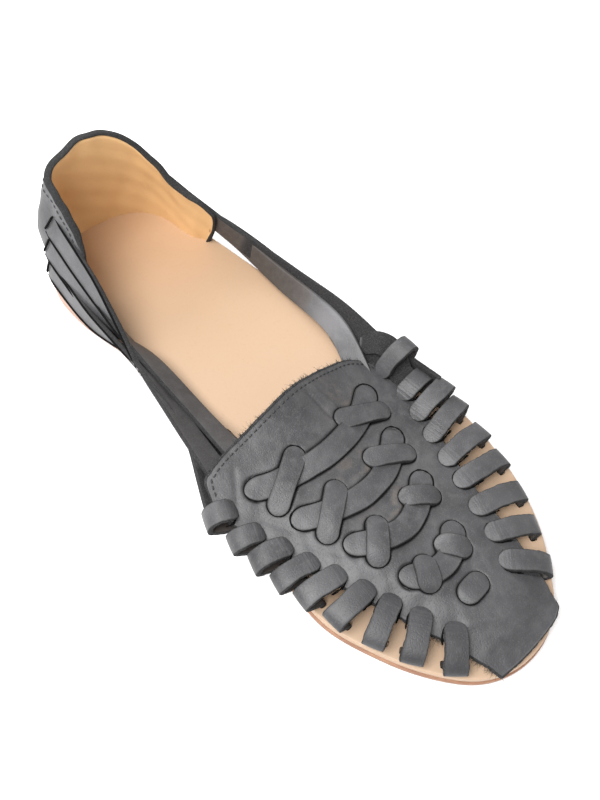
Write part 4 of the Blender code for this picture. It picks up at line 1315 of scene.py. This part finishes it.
def make_floor():
    """Plain pale floor under the shoe."""
    size = 3.0
    corners = np.array([[-1, -1, 0], [1, -1, 0], [1, 1, 0], [-1, 1, 0]]) * size
    floor = make_mesh("floor", corners - np.array([0, 0, 0.00005]), [[0, 1, 2, 3]])
    f = Finish("pale floor")
    f.set(Base_Color=(0.93, 0.93, 0.935), Roughness=0.9, Specular_IOR_Level=0.1)
    floor.data.materials.append(f.material)


def area_light(name, place, target, size, power):
    """Square soft light that faces a target."""
    light = bpy.data.lights.new(name, "AREA")
    light.size = size
    light.energy = power
    lamp = bpy.data.objects.new(name, light)
    lamp.matrix_world = (Matrix.Translation(Vector(place))
                         @ (Vector(place) - Vector(target)).to_track_quat("Z", "Y").to_matrix().to_4x4())
    bpy.context.scene.collection.objects.link(lamp)


def make_studio():
    """White world, a large soft light over the inner side and a smaller one behind the heel."""
    world = bpy.data.worlds.new("studio")
    bpy.context.scene.world = world
    world.use_nodes = True
    world.node_tree.nodes["Background"].inputs["Color"].default_value = (1, 1, 1, 1)
    world.node_tree.nodes["Background"].inputs["Strength"].default_value = 0.58
    bpy.context.scene.view_settings.view_transform = "Standard"
    middle = (0.0, -0.09, 0.02)
    area_light("inner side", (-0.44, -0.12, 0.80), middle, 0.66, 13.6)
    area_light("heel side", (0.05, 0.75, 0.50), middle, 0.35, 8.0)


def make_camera():
    """Camera above the toe's inner side, at the photo's own viewpoint, turned to take in the shoe."""
    place = Vector((-0.1037, -0.2160, 0.2796))
    aim = Vector((0.008, -0.094, 0.015))
    roll = math.radians(2.5)
    focal_pixels = 850.0
    image_height = 800
    forward = (aim - place).normalized()
    right = forward.cross(Vector((0, 0, 1))).normalized()
    up = right.cross(forward)
    right, up = right * math.cos(roll) + up * math.sin(roll), up * math.cos(roll) - right * math.sin(roll)
    camera = bpy.data.cameras.new("camera")
    camera.sensor_width = 36.0
    camera.lens = focal_pixels / image_height * camera.sensor_width
    camera.clip_start = 0.01
    holder = bpy.data.objects.new("camera", camera)
    holder.matrix_world = Matrix((
        (right.x, up.x, -forward.x, place.x),
        (right.y, up.y, -forward.y, place.y),
        (right.z, up.z, -forward.z, place.z),
        (0, 0, 0, 1),
    ))
    bpy.context.scene.collection.objects.link(holder)
    bpy.context.scene.camera = holder


def main():
    """The whole scene: camera, light and floor, then the shoe from the sole up."""
    make_camera()
    make_studio()
    make_floor()
    make_soles()
    leather = black_leather()
    black_thread = thread("black thread", (0.030, 0.030, 0.032), 0.6, 0.5)
    # Painted shade: a near-black finish for the tubes and ropes that stand in for the shade in slits.
    shadow = thread("painted slit shade", (0.006, 0.006, 0.006), 0.9, 0.1)
    make_vamp(leather)
    make_weave(leather)
    make_slot_shades(shadow)
    for i, row in enumerate(INNER_LOOPS):
        make_loop(f"loop_inner_{i + 1}", row, leather, 100 + i, 0.26 if i < 4 else 0.08)
    for i, row in enumerate(OUTER_LOOPS):
        make_loop(f"loop_outer_{i + 1}", row, leather, 120 + i, 0.20 if 0 < i < 4 else 0.07)
    # The straps' ropes of painted shade for their slits are gathered here.
    slit_shades = []
    for i, knots in enumerate(INNER_STRAPS):
        make_strap(f"strap_inner_{i + 1}", knots, -1, INNER_WEAR_AND_PAINTED_LIGHT[i], leather, 140 + i, slit_shades)
    for i, (name, sign) in enumerate((("tuck_inner", -1), ("tuck_outer", 1), ("tuck_corner", 1))):
        make_strap(name, TUCKS[i], sign, TUCK_WEAR_AND_PAINTED_LIGHT[i], leather, 160 + i)
    for i, knots in enumerate(OUTER_STRAPS):
        make_strap(f"strap_outer_{i + 1}", knots, 1, OUTER_WEAR_AND_PAINTED_LIGHT[i], leather, 150 + i, slit_shades)
    tubes_piece("strap_slit_shades", np.stack(slit_shades), shadow)
    lining = pale_leather("counter lining", (0.73, 0.48, 0.245), (0.69, 0.43, 0.20), 0.5)
    wall_piece("counter_outer", 0.0, COUNTER_THICK, 0.0, leather)
    wall_piece("counter_lining", COUNTER_THICK + 0.05 * MM, LINING_THICK, 0.9 * MM, lining)
    make_binding(leather)
    make_plugs(leather)
    make_stitches(black_thread)
    make_frays(black_thread)


main()
